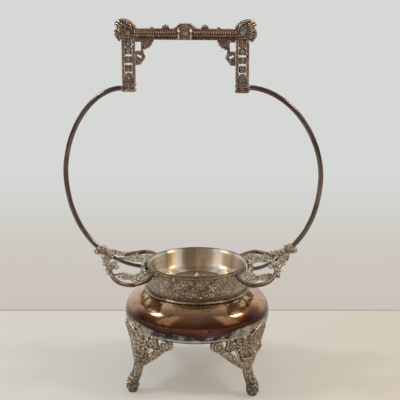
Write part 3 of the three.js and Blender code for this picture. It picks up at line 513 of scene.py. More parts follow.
# Starts a tree of geometry nodes with named inputs; gives back what adds a node to it, and the inputs
def startTree(name, inputs):
    tree = bpy.data.node_groups.new(name, "GeometryNodeTree")
    tree.interface.new_socket("Geometry", in_out="INPUT", socket_type="NodeSocketGeometry")
    for label, kind, value in inputs:
        socket = tree.interface.new_socket(label, in_out="INPUT", socket_type="NodeSocket" + kind)
        socket.default_value = value
    tree.interface.new_socket("Material", in_out="INPUT", socket_type="NodeSocketMaterial")
    tree.interface.new_socket("Geometry", in_out="OUTPUT", socket_type="NodeSocketGeometry")
    add = partial(wire, tree)
    return add, add("NodeGroupInput").outputs


def endTree(add, shape, given):
    whole = add("GeometryNodeRealizeInstances", {"Geometry": shape})
    painted = add("GeometryNodeSetMaterial", {"Geometry": whole.outputs[0], "Material": given["Material"]})
    add("NodeGroupOutput", {0: painted.outputs[0]})
    return painted.id_data


# Petals, ribs or beads set in a ring round the z axis, long side outward
def petalTree():
    add, given = startTree("petalRing", [
        ("Count", "Int", 6), ("Ring", "Float", 2.0), ("Petal", "Vector", (1.2, 0.9, 0.7)),
        ("Lift", "Float", 0.0), ("Eye", "Vector", (1, 1, 1)),
    ])
    ring = add("GeometryNodeMeshCircle", {"Vertices": given["Count"], "Radius": given["Ring"]})
    petal = add("GeometryNodeMeshIcoSphere", {"Radius": 1.0, "Subdivisions": 3}).outputs["Mesh"]
    place = add("GeometryNodeInputPosition").outputs[0]
    turn = add("FunctionNodeAlignRotationToVector", {"Vector": place}, axis="X", pivot_axis="Z").outputs[0]
    lift = add("ShaderNodeCombineXYZ", {"Y": given["Lift"]}).outputs[0]
    tilt = add("FunctionNodeEulerToRotation", {0: lift}).outputs[0]
    whole = add("FunctionNodeRotateRotation", {0: turn, 1: tilt}, rotation_space="LOCAL").outputs[0]
    copies = add("GeometryNodeInstanceOnPoints", {
        "Points": ring.outputs["Mesh"], "Instance": petal, "Rotation": whole, "Scale": given["Petal"],
    })
    eye = add("GeometryNodeTransform", {"Geometry": petal, "Scale": given["Eye"]})
    both = add("GeometryNodeJoinGeometry", {0: copies.outputs[0]})
    both.id_data.links.new(eye.outputs[0], both.inputs[0])
    return endTree(add, both.outputs[0], given)


# Beads strung along a line
def beadTree():
    add, given = startTree("beadRow", [
        ("Pitch", "Float", 1.8), ("Bead", "Vector", (0.8, 0.8, 0.8)), ("Detail", "Int", 2),
    ])
    line = add("GeometryNodeMeshToCurve", {0: given["Geometry"]}).outputs[0]
    even = add("GeometryNodeResampleCurve", {"Curve": line, "Length": given["Pitch"]}, mode="LENGTH")
    bead = add("GeometryNodeMeshIcoSphere", {"Radius": 1.0, "Subdivisions": given["Detail"]})
    copies = add("GeometryNodeInstanceOnPoints", {
        "Points": even.outputs[0], "Instance": bead.outputs["Mesh"], "Scale": given["Bead"],
    })
    return endTree(add, copies.outputs[0], given)


# Round wire along a line, slightly uneven as hand-bent wire is
def wireTree():
    add, given = startTree("bentWire", [
        ("Radius", "Float", 1.9), ("Sides", "Int", 24), ("Waver", "Float", 0.06), ("Seed", "Float", 3.0),
    ])
    line = add("GeometryNodeMeshToCurve", {0: given["Geometry"]}).outputs[0]
    inputs = {"Resolution": given["Sides"], "Radius": given["Radius"]}
    section = add("GeometryNodeCurvePrimitiveCircle", inputs).outputs[0]
    inputs = {"Curve": line, "Profile Curve": section, "Fill Caps": True}
    tube = add("GeometryNodeCurveToMesh", inputs).outputs[0]
    place = add("GeometryNodeInputPosition").outputs[0]
    inputs = {"Vector": place, "W": given["Seed"], "Scale": 0.09}
    noise = add("ShaderNodeTexNoise", inputs, noise_dimensions="4D").outputs["Color"]
    middle = add("ShaderNodeVectorMath", {0: noise, 1: (0.5, 0.5, 0.5)}, operation="SUBTRACT").outputs[0]
    shift = add("ShaderNodeVectorMath", {0: middle, "Scale": given["Waver"]}, operation="SCALE").outputs[0]
    bent = add("GeometryNodeSetPosition", {"Geometry": tube, "Offset": shift}).outputs[0]
    return endTree(add, bent, given)


trees = {"petals": petalTree(), "beads": beadTree(), "wire": wireTree()}


def meshFrom(name, points, faces, edges=()):
    mesh = bpy.data.meshes.new(name)
    mesh.from_pydata([tuple(p) for p in points], list(edges), list(faces))
    mesh.update()
    return mesh


def evaluated(piece, name):
    bpy.context.view_layer.update()
    graph = bpy.context.evaluated_depsgraph_get()
    mesh = bpy.data.meshes.new_from_object(piece.evaluated_get(graph))
    mesh.name = name
    bpy.data.objects.remove(piece)
    return mesh


# Runs one of the trees along a line and returns the plain mesh
def grown(kind, points, values):
    line = meshFrom("line", points, [], [(i, i + 1) for i in range(len(points) - 1)])
    piece = linked("grown", line)
    modifier = piece.modifiers.new("grow", "NODES")
    modifier.node_group = trees[kind]
    for item in trees[kind].interface.items_tree:
        if item.item_type == "SOCKET" and item.in_out == "INPUT" and item.name in values:
            modifier[item.identifier] = values[item.name]
    return evaluated(piece, "grown")


def meshParts(mesh):
    return [v.co.copy() for v in mesh.vertices], [tuple(p.vertices) for p in mesh.polygons]


# Merges doubles and turns all faces outward
def turnOut(mesh):
    form = bmesh.new()
    form.from_mesh(mesh)
    bmesh.ops.remove_doubles(form, verts=form.verts, dist=1e-7)
    bmesh.ops.recalc_face_normals(form, faces=form.faces)
    form.to_mesh(mesh)
    form.free()


# Gives a mesh its finish, shades it smooth and puts it under the root, and hides the nodes that it stands
# for; the finish's slot is not used
def finished(name, mesh, finish, *replaced, sharp=None):
    material, slot = finishes[finish]
    mesh.materials.clear()
    mesh.materials.append(material)
    mesh.shade_smooth()
    if sharp:
        mesh.set_sharp_from_angle(angle=math.radians(sharp))
    piece = linked(name, mesh)
    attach(piece, "root")
    if replaced:
        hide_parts(*replaced)


# Bent wire along a path in millimetres
def makeWire(name, path, radius, plan, seed, finish, *replaced):
    values = {"Radius": radius, "Seed": seed, "Material": finishes[finish][0]}
    mesh = grown("wire", path, values | plan)
    mesh.transform(Matrix.Scale(mm, 4))
    turnOut(mesh)
    finished(name, mesh, finish, *replaced, sharp=60)


partsCache = {}  # flowers and balls that were made before


# Ring of petals with an eye, as points and faces about the z axis
def flowerParts(*key):
    if key not in partsCache:
        values = dict(zip(("Count", "Ring", "Petal", "Lift", "Eye"), key))
        values["Material"] = finishes["castPewter"][0]
        partsCache[key] = meshParts(grown("petals", [(0, 0, 0), (1, 0, 0)], values))
    return partsCache[key]


def ballParts(detail):
    if detail not in partsCache:
        form = bmesh.new()
        bmesh.ops.create_icosphere(form, subdivisions=detail, radius=1)
        form.verts.ensure_lookup_table()
        faces = [tuple(v.index for v in f.verts) for f in form.faces]
        partsCache[detail] = [v.co.copy() for v in form.verts], faces
        form.free()
    return partsCache[detail]


# Smooth line through points, with so many steps from one to the next
def smoothPath(points, steps=8):
    points = [Vector(p) for p in points]
    padded = [points[0] * 2 - points[1]] + points + [points[-1] * 2 - points[-2]]
    path = []
    for i in range(1, len(padded) - 2):
        a, b, c, d = padded[i - 1:i + 3]
        for j in range(steps):
            t = j / steps
            path.append(0.5 * ((2 * b) + (c - a) * t + (2 * a - 5 * b + 4 * c - d) * t * t
                               + (3 * b - a - 3 * c + d) * t ** 3))
    path.append(points[-1])
    return path


def along(path, share):
    spot = share * (len(path) - 1)
    i = min(int(spot), len(path) - 2)
    return path[i].lerp(path[i + 1], spot - i)


# Points of an arc about a middle, in a plane: angles in radians, counted from the first axis
def arc(middle, radii, start, end, count):
    return [(middle[0] + radii[0] * math.cos(a), middle[1] + radii[1] * math.sin(a))
            for a in np.linspace(start, end, count)]


def circle(radius, count):
    return arc((0, 0), (radius, radius), 0, fullTurn, count + 1)[:-1]


def pointIn(outline, x, z):
    inside = False
    for i in range(len(outline)):
        (x1, z1), (x2, z2) = outline[i], outline[i - 1]
        if (z1 > z) != (z2 > z) and x < (x2 - x1) * (z - z1) / (z2 - z1) + x1:
            inside = not inside
    return inside


# Place with its x axis forward and its z axis as near to up as that allows
def frameAt(place, forward, up):
    x = Vector(forward).normalized()
    z = Vector(up)
    z = (z - x * z.dot(x)).normalized()
    y = z.cross(x)
    return Matrix.Translation(place) @ Matrix((x, y, z)).transposed().to_4x4()


# Lumps in millimetres that are run together into one casting
class Clay:
    def __init__(self):
        self.points, self.faces = [], []

    def put(self, points, faces, matrix=None):
        first = len(self.points)
        self.points += [matrix @ p for p in points] if matrix else [Vector(p) for p in points]
        self.faces += [tuple(i + first for i in face) for face in faces]

    def ball(self, place, radii, matrix=None, detail=3):
        radii = radii if isinstance(radii, tuple) else (radii,) * 3
        whole = Matrix.Translation(place) @ Matrix.Diagonal((*radii, 1))
        self.put(*ballParts(detail), (matrix @ whole) if matrix else whole)

    # Tube whose width may change along its path; flat below 1 makes a band, thin along up
    def tube(self, path, radius, sides=12, flat=1.0, up=(0, 0, 1), smooth=0):
        path = smoothPath(path, smooth) if smooth else [Vector(p) for p in path]
        count = len(path)
        radii = list(radius) if isinstance(radius, (list, tuple)) else [radius]
        up = Vector(up).normalized()
        points, faces = [], []
        for i, point in enumerate(path):
            forward = (path[min(i + 1, count - 1)] - path[max(i - 1, 0)]).normalized()
            across = forward.cross(up)
            across = across.normalized() if across.length > 1e-3 else forward.orthogonal().normalized()
            over = across.cross(forward)
            spot = i / max(1, count - 1) * (len(radii) - 1)
            j = min(int(spot), max(0, len(radii) - 2))
            r = radii[j] if len(radii) == 1 else radii[j] + (radii[j + 1] - radii[j]) * (spot - j)
            points += [point + across * (r * math.cos(fullTurn * k / sides))
                       + over * (r * flat * math.sin(fullTurn * k / sides)) for k in range(sides)]
        ring = [(k, (k + 1) % sides) for k in range(sides)]
        for i in range(0, (count - 1) * sides, sides):
            faces += [(i + k, i + n, i + sides + n, i + sides + k) for k, n in ring]
        last = (count - 1) * sides
        points += [path[0], path[-1]]
        for k, n in ring:
            faces += [(n, k, last + sides), (last + k, last + n, last + sides + 1)]
        self.put(points, faces)

    # Leaf from base to tip lying across the direction up: a midrib with lobes to both sides
    def leaf(self, base, tip, up, width, thick=1.0, lobes=4, arch=0.0):
        base, tip = Vector(base), Vector(tip)
        length = (tip - base).length
        matrix = frameAt(base, tip - base, up)
        spine = [matrix @ Vector((length * t, 0, arch * math.sin(math.pi * t) + thick * 0.25))
                 for t in np.linspace(0, 1, 9)]
        self.tube(spine, [thick * 0.6, thick * 0.5, thick * 0.3], 8)
        for k in range(lobes):
            t = (k + 0.6) / (lobes + 0.35)
            half = width / 2 * math.sin(math.pi * (0.16 + 0.74 * t)) ** 0.7
            long, wide = half * 0.68, max(length / lobes * 0.46, half * 0.3)
            rise = arch * math.sin(math.pi * t)
            for side in (-1, 1):
                turn = Matrix.Rotation(side * math.radians(62 - 30 * t), 4, "Z")
                place = Vector((length * t + long * 0.42, side * half * 0.5, rise - 0.05 * half))
                size = Matrix.Diagonal((long, wide, thick * 0.55, 1))
                self.put(*ballParts(2), matrix @ Matrix.Translation(place) @ turn @ size)
                vein = [matrix @ (place + turn @ Vector((x * long, 0, thick * 0.5))) for x in (-0.8, 0, 0.8)]
                self.tube(vein, [thick * 0.26, thick * 0.2], 6)
        self.ball((length * 0.97, 0, thick * 0.1), (length * 0.1, width * 0.12, thick * 0.55), matrix, 2)

    # Flat plate from an outline in its own x and y, thick along z
    def plate(self, outline, thick, matrix=None):
        flat = [Vector((p[0], p[1], 0)) for p in outline]
        count = len(flat)
        points = [p + Vector((0, 0, out)) for out in (thick / 2, -thick / 2) for p in flat]
        faces = []
        for a, b, c in geometry.tessellate_polygon([flat]):
            if (flat[b] - flat[a]).cross(flat[c] - flat[a]).z < 0:
                b, c = c, b
            faces += [(a, b, c), (count + c, count + b, count + a)]
        area = sum(flat[i - 1].x * flat[i].y - flat[i].x * flat[i - 1].y for i in range(count))
        for i in range(count):
            j = (i + 1) % count
            side = (i, count + i, count + j, j)
            faces.append(side if area > 0 else side[::-1])
        self.put(points, faces, matrix)

    def box(self, low, high, shift=(0, 0, 0)):
        outline = [(low[0], low[1]), (high[0], low[1]), (high[0], high[1]), (low[0], high[1])]
        middle = Matrix.Translation((0, 0, (low[2] + high[2]) / 2))
        self.plate(outline, high[2] - low[2], Matrix.Translation(shift) @ middle)

    def flower(self, place, facing, count, ring, petal, lift=0.0, eye=(1, 1, 1), forward=(1, 0, 0)):
        self.put(*flowerParts(count, ring, petal, lift, eye), frameAt(place, forward, facing))

    def beads(self, path, pitch, size):
        values = {"Pitch": pitch, "Bead": size, "Detail": 2, "Material": finishes["castPewter"][0]}
        self.put(*meshParts(grown("beads", path, values)))

    def spiral(self, middle, normal, start, outer, inner, turns, radius, way=1):
        matrix = frameAt(middle, start, normal)
        steps = int(26 * turns)
        path = []
        for i in range(steps + 1):
            t = i / steps
            r = outer + (inner - outer) * t ** 0.85
            angle = way * fullTurn * turns * t
            path.append(matrix @ Vector((r * math.cos(angle), r * math.sin(angle), 0)))
        self.tube(path, [radius, radius * 0.75], up=normal)

    def warped(self, bend):
        self.points = [bend(p) for p in self.points]

    def shifted(self, x):
        self.warped(lambda p: p + Vector((x, 0, 0)))

    def mirrored(self):
        self.warped(lambda p: Vector((-p.x, p.y, p.z)))
        self.faces = [face[::-1] for face in self.faces]

    # The lumps as they are, in metres
    def plain(self, name):
        return meshFrom(name, [p * mm for p in self.points], self.faces)

    # Runs the lumps together on a grid, softens them and marks hollows and crests
    def cast(self, name, grid, soft=2, blur=9):
        piece = linked(name, self.plain(name))
        remesh = piece.modifiers.new("run", "REMESH")
        remesh.mode, remesh.voxel_size = "VOXEL", grid * mm
        smooth = piece.modifiers.new("soft", "SMOOTH")
        smooth.factor, smooth.iterations = 0.5, soft
        mesh = evaluated(piece, name)
        markRelief(mesh, blur, 0.22 * mm)
        return mesh


# Marks how far each point stands out from the blurred surface: 0.5 is level, 0 a hollow, 1 a crest
def markRelief(mesh, rounds, reach):
    count = len(mesh.vertices)
    place = np.empty(count * 3)
    normal = np.empty(count * 3)
    ends = np.empty(len(mesh.edges) * 2, dtype=np.int64)
    mesh.vertices.foreach_get("co", place)
    mesh.vertices.foreach_get("normal", normal)
    mesh.edges.foreach_get("vertices", ends)
    place, normal, ends = place.reshape(-1, 3), normal.reshape(-1, 3), ends.reshape(-1, 2)
    first, second = ends[:, 0], ends[:, 1]
    degree = np.maximum(1, np.bincount(ends.ravel(), minlength=count))

    def spread(values):
        total = np.bincount(first, values[second], count) + np.bincount(second, values[first], count)
        return 0.5 * values + 0.5 * total / degree

    blurred = [place[:, k].copy() for k in range(3)]
    for _ in range(rounds):
        blurred = [spread(values) for values in blurred]
    height = ((place - np.stack(blurred, 1)) * normal).sum(1)
    for _ in range(2):
        height = spread(height)
    addRelief(mesh, np.clip(0.5 + height / (2 * reach), 0, 1))


def addRelief(mesh, values):
    relief = mesh.attributes.new("relief", "FLOAT", "POINT")
    relief.data.foreach_set("value", np.asarray(values, np.float32))


# Skin of revolution in millimetres; shift moves a point out by a height that depends on its turn and place
def turned(name, profile, steps, closed=True, shift=None, outer=()):
    profile = [Vector((r, 0, z)) for r, z in profile]
    count = len(profile)
    points, faces = [], []
    angles = np.arange(steps) * (fullTurn / steps)
    heights = np.zeros((steps, count))
    for i in outer:
        heights[:, i] = shift(angles, profile[i].x, profile[i].z)
    normals = []
    for i in range(count):
        before = profile[i - 1] if i or closed else profile[0]
        after = profile[(i + 1) % count] if i < count - 1 or closed else profile[-1]
        run = (after - before).normalized()
        normals.append(Vector((run.z, 0, -run.x)))
    for s in range(steps):
        cos, sin = math.cos(angles[s]), math.sin(angles[s])
        for i, point in enumerate(profile):
            p = point + normals[i] * heights[s, i]
            points.append((p.x * cos * mm, p.x * sin * mm, p.z * mm))
    for s in range(steps):
        t = (s + 1) % steps
        for i in range(count if closed else count - 1):
            j = (i + 1) % count
            faces.append((s * count + i, t * count + i, t * count + j, s * count + j))
    mesh = meshFrom(name, points, faces)
    if shift is not None:
        addRelief(mesh, heights.ravel())
    turnOut(mesh)
    return mesh


belly = {
    "radius": 64.0, "middle": 57.5, "rise": 26.0, "power": 2.6, "wall": 1.0, "rows": 44, "innerRows": 16,
    "ledge": 44.7, "opening": 41.7, "seat": 78.95, "hole": 2.3, "around": 256,
    "side": [(64.0, 57.5), (63.98, 56.3), (63.85, 54.9), (63.55, 53.4), (63.1, 52.2)],
    "edge": [(62.75, 51.3), (62.95, 50.9), (62.8, 50.5)],  # rolled edge below the widest line
    "under": [  # from the edge in to the bolt
        (62.1, 49.9), (58.5, 47.5), (54, 45.8), (48, 44.1), (38, 42.0), (26, 39.9), (14, 38.4), (2.3, 38.0),
    ],
    "innerTop": (62.9, 57.5),
}


# Profile of the belly's upper half, by how far it lies inside the outer skin
def bellyDome(inset, rows):
    radius, rise, power = belly["radius"] - inset, belly["rise"] - inset, belly["power"]
    last = math.acos((belly["ledge"] / radius) ** (power / 2))
    angles = [last * i / rows for i in range(rows + 1)]
    return [(radius * math.cos(a) ** (2 / power), belly["middle"] + rise * math.sin(a) ** (2 / power))
            for a in angles]


def makeBelly():
    b = belly
    ledge = [(b["ledge"] - 0.15, b["seat"]), (b["opening"], b["seat"]), (b["opening"], b["seat"] - b["wall"])]
    profile = bellyDome(0, b["rows"]) + ledge + bellyDome(b["wall"], b["innerRows"])[::-1]
    mesh = turned("bellyUpper", profile, b["around"])
    finished("bellyUpper", mesh, "tarnishAndReflectionPlate", "body_upper", sharp=50)
    under = smoothPath([(r, 0, z) for r, z in b["under"]], 5)
    edge = [Vector((r, 0, z)) for r, z in b["edge"]]
    outer = b["side"] + [(p.x, p.z) for p in edge + under]
    inner = [(max(b["hole"], r - 0.5), z + b["wall"]) for r, z in outer[::-3]]
    inner = [p for p in inner if p[1] < 57.2] + [b["innerTop"]]
    mesh = turned("bellyLower", outer + inner, b["around"])
    finished("bellyLower", mesh, "tarnishAndReflectionPlate", "body_lower", sharp=50)


collarPlan = {
    "foot": 44.0, "seat": 78.95, "around": 880, "rows": 60, "innerRows": 8, "insets": (-0.45, -0.7),
    "line": [  # radius and height over the seat, from the foot up
        (44.0, 1.9), (45.0, 5.65), (44.0, 14.69), (43.3, 21.018), (43.3, 22.6),
    ],
    "raised": 0.55,
    "middle": 11.9,  # height of the frieze's middle over the seat
    "half": 8.9,  # half the frieze's height
    "border": 9.6,  # how far over and under the middle the border lines run
    "units": 9,
    "phase": 0.22,
    "scrolls": [  # along the unit, up from the middle, radius, way it winds
        (-10.6, 3.9, 4.3, 1), (-5.2, -4.3, 4.2, -1), (5.6, 4.2, 4.3, -1), (11.0, -3.7, 4.2, 1),
        (-14.6, -3.4, 3.6, -1), (0.6, -5.6, 2.7, 1), (-3.9, 6.3, 2.2, 1), (5.4, -3.2, 2.6, 1),
        (12.6, 5.6, 2.5, 1), (-9.9, -6.9, 1.8, 1), (14.4, 1.0, 1.9, -1),
    ],
    "windingPitch": 2.3,
    "flower": (0.3, 1.2, 3.4, 4.0),  # along the unit, up, radius, clear ground round it
}


# Engraved band: winding scrolls and a flower in each unit over a close net of tendrils
def scrollBand(angles, radius, z):
    c = collarPlan
    v = z - c["seat"] - c["middle"]
    if abs(v) > c["half"]:
        return np.full(len(angles), c["raised"] * max(0.0, 0.7 - abs(abs(v) - c["border"])))
    pitch = fullTurn * c["foot"] / c["units"]
    u = ((angles * c["units"] / fullTurn + c["phase"]) % 1 - 0.5) * pitch

    def polar(at, up):
        du = (u - at + pitch / 2) % pitch - pitch / 2
        return np.hypot(du, v - up), np.arctan2(v - up, du)

    height = np.zeros(len(angles))
    for at, up, size, way in c["scrolls"]:
        r, turn = polar(at, up)
        winding = (r / c["windingPitch"] - turn * way / fullTurn) % 1
        line = np.clip(1.5 - np.abs(winding - 0.5) * 4.6, 0, 1)
        line = np.where(r < 1.0, 1, line) * np.clip((size - r) / 0.4, 0, 1)
        height = np.maximum(height, line * (0.7 + 0.3 * np.cos(turn * way * 6)))
    at, up, size, clear = c["flower"]
    r, turn = polar(at, up)
    bloom = np.clip((size + 0.9 * np.cos(5 * turn) - r) / 0.8, 0, 1) * (0.55 + 0.45 * np.cos(5 * turn))
    bloom = np.maximum(bloom, np.clip((1.3 - r) / 0.5, 0, 1))
    height = np.where(r < clear, np.maximum(bloom, height * (r > clear - 0.2)), height)
    way = angles * c["foot"]
    net = np.sin(1.75 * way + 1.7 * math.sin(0.9 * v + 1) + 1.3 * np.sin(0.4 * way))
    net = net * np.sin(1.5 * v + 1.9 * np.sin(0.75 * way) + 0.8 * np.sin(0.31 * way + 2))
    tendril = np.clip(1.25 - np.abs(net) / 0.22, 0, 1) * (0.6 + 0.4 * np.sin(0.9 * way + v))
    return c["raised"] * np.maximum(height, 0.85 * tendril * (height < 0.25))


def collarLine(inset, rows):
    c = collarPlan
    path = smoothPath([(r + inset, 0, c["seat"] + z) for r, z in c["line"]], max(2, rows // 4))
    return [(c["foot"] + inset, c["seat"])] + [(p.x, p.z) for p in path]


def makeCollar():
    c = collarPlan
    outside = collarLine(c["insets"][0], c["rows"])
    profile = outside + collarLine(c["insets"][1], c["innerRows"])[::-1]
    mesh = turned("collarBand", profile, c["around"], shift=scrollBand, outer=range(1, len(outside)))
    finished("collarBand", mesh, "engravedPlate", "collar")


flange = {"inside": 44.3, "width": 2.7, "bottom": 78.95, "height": 2.1, "around": 224}


def makeFlange():
    inside, low = flange["inside"], flange["bottom"]
    width, height = flange["width"], flange["height"]
    outer = inside + width
    profile = [(inside, low), (outer - 0.1, low), (outer, low + 0.15)]
    for i in range(9):  # flared lip
        t = i / 8
        profile.append((outer - width * 0.85 * t, low + 0.35 + (height - 0.45) * t ** 0.45))
    profile += [(inside + 0.1, low + height), (inside, low + height - 0.1)]
    mesh = turned("flangeRing", profile, flange["around"])
    finished("flangeRing", mesh, "flangeBand", "collar_flange", sharp=40)


pan = {
    "wall": 0.7, "floor": 85.40, "around": 192,
    "rings": [  # radius and height over the floor, with two scribed rings
        (2.3, 0), (20, 0), (23.6, 0), (25.3, 0), (25.8, 0.25), (26.4, 0.25), (26.9, 0),
        (34.2, 0), (34.7, 0.3), (35.5, 0.3), (36.0, 0),
    ],
    "side": [
        (37.3, 0), (38.9, 0.45), (40.2, 2.0), (40.75, 3.6), (41.2, 8), (41.7, 14.2), (42.05, 15.4),
        (42.95, 17.0),
    ],
    "lip": (43.45, 102.6, 0.5),  # middle of the rolled lip and its radius
    "neck": [(42.4, 100.8), (42.4, 99.6)],  # below the lip on the outside
    "outsideTop": 98.8,
    "foot": 37.1,  # radius of the corner under the floor
}


def makePan():
    low, wall = pan["floor"], pan["wall"]
    side = smoothPath([(r, 0, low + z) for r, z in pan["side"]], 7)
    profile = [(r, low + z) for r, z in pan["rings"]]
    profile += [(q.x, q.z) for q in side]
    middle, lipZ, lip = pan["lip"]
    profile += arc((middle, lipZ), (lip, lip), math.pi, -math.pi / 2, 19)
    profile += pan["neck"]
    outside = [q for q in side if q.z < pan["outsideTop"]]
    profile += [(q.x + wall * 0.9, q.z - wall * 0.5) for q in outside[::-3]]
    profile += [(pan["foot"], low - wall), (belly["hole"], low - wall)]
    finished("cupPan", turned("cupPan", profile, pan["around"]), "giltPan", "cup_pan", sharp=45)


medallion = {
    "radius": 24.0, "floor": 85.4, "height": 1.2, "sink": 0.6, "rings": 46, "around": 448,
    "rim": 1.7,  # width of the rim with its step down to the field
    "relief": (5, 22.3),  # where the leaves start and end
    "leaves": 16, "raised": 0.38, "ring": 13.5,
}


def medallionRelief(angles, radius, z):
    m = medallion
    start, end = m["relief"]
    if not start <= radius <= end:
        return np.zeros(len(angles))
    wave = 0.5 + 0.5 * np.cos(angles * m["leaves"] + 1.6 * math.sin(radius * 0.55))
    swell = max(0.0, math.sin((radius - start) / (end - start) * math.pi)) ** 0.4
    body = np.clip(wave * 1.6 - 0.5, 0, 1) * swell
    scroll = 0.5 + 0.5 * np.cos(angles * 2 * m["leaves"] + radius * 1.4)
    ring = math.exp(-((radius - m["ring"]) / 0.5) ** 2)
    leaf = 0.6 + 0.4 * np.cos(angles * m["leaves"])
    return m["raised"] * np.maximum(np.maximum(body * leaf, 0.6 * scroll * (radius > 14)), ring)


def makeMedallion():
    m = medallion
    radius, top = m["radius"], m["floor"] + m["height"]
    field = top - m["sink"]
    rim = [(radius - 1.3, top), (radius - 0.2, top), (radius, top - 0.2), (radius, m["floor"])]
    reach = radius - m["rim"] - belly["hole"]
    rings = [(radius - m["rim"] - reach * i / m["rings"], field) for i in range(m["rings"] + 1)]
    profile = [(belly["hole"], m["floor"])] + rings[::-1] + rim
    last = len(profile) - len(rim)
    mesh = turned("medallion", profile, m["around"], shift=medallionRelief, outer=range(1, last))
    for vertex in mesh.vertices:  # the relief stands up from the field
        place = vertex.co
        if (field - 0.5) * mm < place.z < field * mm and math.hypot(place.x, place.y) < radius * 0.93 * mm:
            place.z = 2 * field * mm - place.z
    finished("medallion", mesh, "medallionPlate", "cup_medallion", sharp=50)


nut = {"base": 86.0, "radius": 3.6, "height": 6.8, "skirt": 2.0, "shoulder": 2.4, "hole": 2.3, "inside": 89.3}


def makeAcornNut():
    base, radius, skirt = nut["base"], nut["radius"], nut["skirt"]
    start, rise = base + nut["shoulder"], nut["height"] - nut["shoulder"]
    profile = [(nut["hole"], nut["inside"]), (nut["hole"], base)]
    profile += [(radius - 0.2, base), (radius, base + 0.2)]
    profile += [(radius, base + skirt * k) for k in (0.4, 0.8)]
    profile += [(radius - 0.5, base + skirt), (radius - 0.5, base + skirt + 0.3)]
    for i in range(12):
        t = i / 11
        profile.append((max(0.0, (radius - 0.3) * (1 - t) ** 0.75 * (1 - 0.25 * t)), start + rise * t))
    profile.append((0.0, nut["inside"]))
    finished("acornNut", turned("acornNut", profile, 48), "flangeBand", "acorn_nut", sharp=35)


bolt = {"low": 32.3, "high": 89.0, "radius": 2.0, "root": 1.7, "threads": (32.8, 44, 0.6)}
washer = {"hole": 2.3, "radius": 9.0, "around": 96}
hexNut = {"flat": 4.4, "chamfer": 4.0, "hole": 2.3, "steps": 72}


def makeBolt():
    radius, root = bolt["radius"], bolt["root"]
    start, end, pitch = bolt["threads"]
    profile = [(0.0, bolt["low"]), (1.6, bolt["low"]), (radius, bolt["low"] + 0.3)]
    z = start
    while z < end:  # thread rings on the visible tail
        profile += [(radius, z), (root, z + 0.25), (radius, z + 0.5)]
        z += pitch
    profile += [(radius, bolt["high"] - 0.3), (root, bolt["high"]), (0.0, bolt["high"])]
    finished("tieBolt", turned("tieBolt", profile, 32, closed=False), "boltIron", "tie_bolt", sharp=40)


def nodeHeights(node):  # lowest and highest z of a CAD node, in millimetres
    low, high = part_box(node)
    return low.z / mm, high.z / mm


def makeWasher():
    low, high = nodeHeights("bottom_washer")
    hole, radius = washer["hole"], washer["radius"]
    profile = [(hole, low), (radius - 0.4, low), (radius, low + 0.3)]
    profile += [(radius, high - 0.2), (radius - 0.2, high), (hole, high)]
    mesh = turned("bottomWasher", profile, washer["around"])
    finished("bottomWasher", mesh, "boltIron", "bottom_washer", sharp=40)


def makeHexNut():
    low, high = nodeHeights("bottom_nut")
    flat, chamfer, hole, steps = (hexNut[key] for key in ("flat", "chamfer", "hole", "steps"))
    section = [(flat, low + 0.4), (flat, high - 0.4), (chamfer, high)]
    section += [(hole, high), (hole, low), (chamfer, low)]
    count = len(section)
    points, faces = [], []
    for k in range(steps):
        angle = fullTurn * k / steps
        corner = math.cos(math.pi / 6) / math.cos((angle + math.pi / 6) % (math.pi / 3) - math.pi / 6)
        for i, (r, z) in enumerate(section):
            r = r * corner if i < 2 else min(r, flat * corner)
            points.append((r * math.cos(angle) * mm, r * math.sin(angle) * mm, z * mm))
        here, after = k * count, (k + 1) % steps * count
        for i in range(count):
            j = (i + 1) % count
            faces.append((here + i, after + i, after + j, here + j))
    mesh = meshFrom("bottomNut", points, faces)
    turnOut(mesh)
    finished("bottomNut", mesh, "boltIron", "bottom_nut", sharp=30)


makeBelly()
makeCollar()
makeFlange()
makePan()
makeMedallion()
makeAcornNut()
makeBolt()
makeWasher()
makeHexNut()
print("turned pieces made")


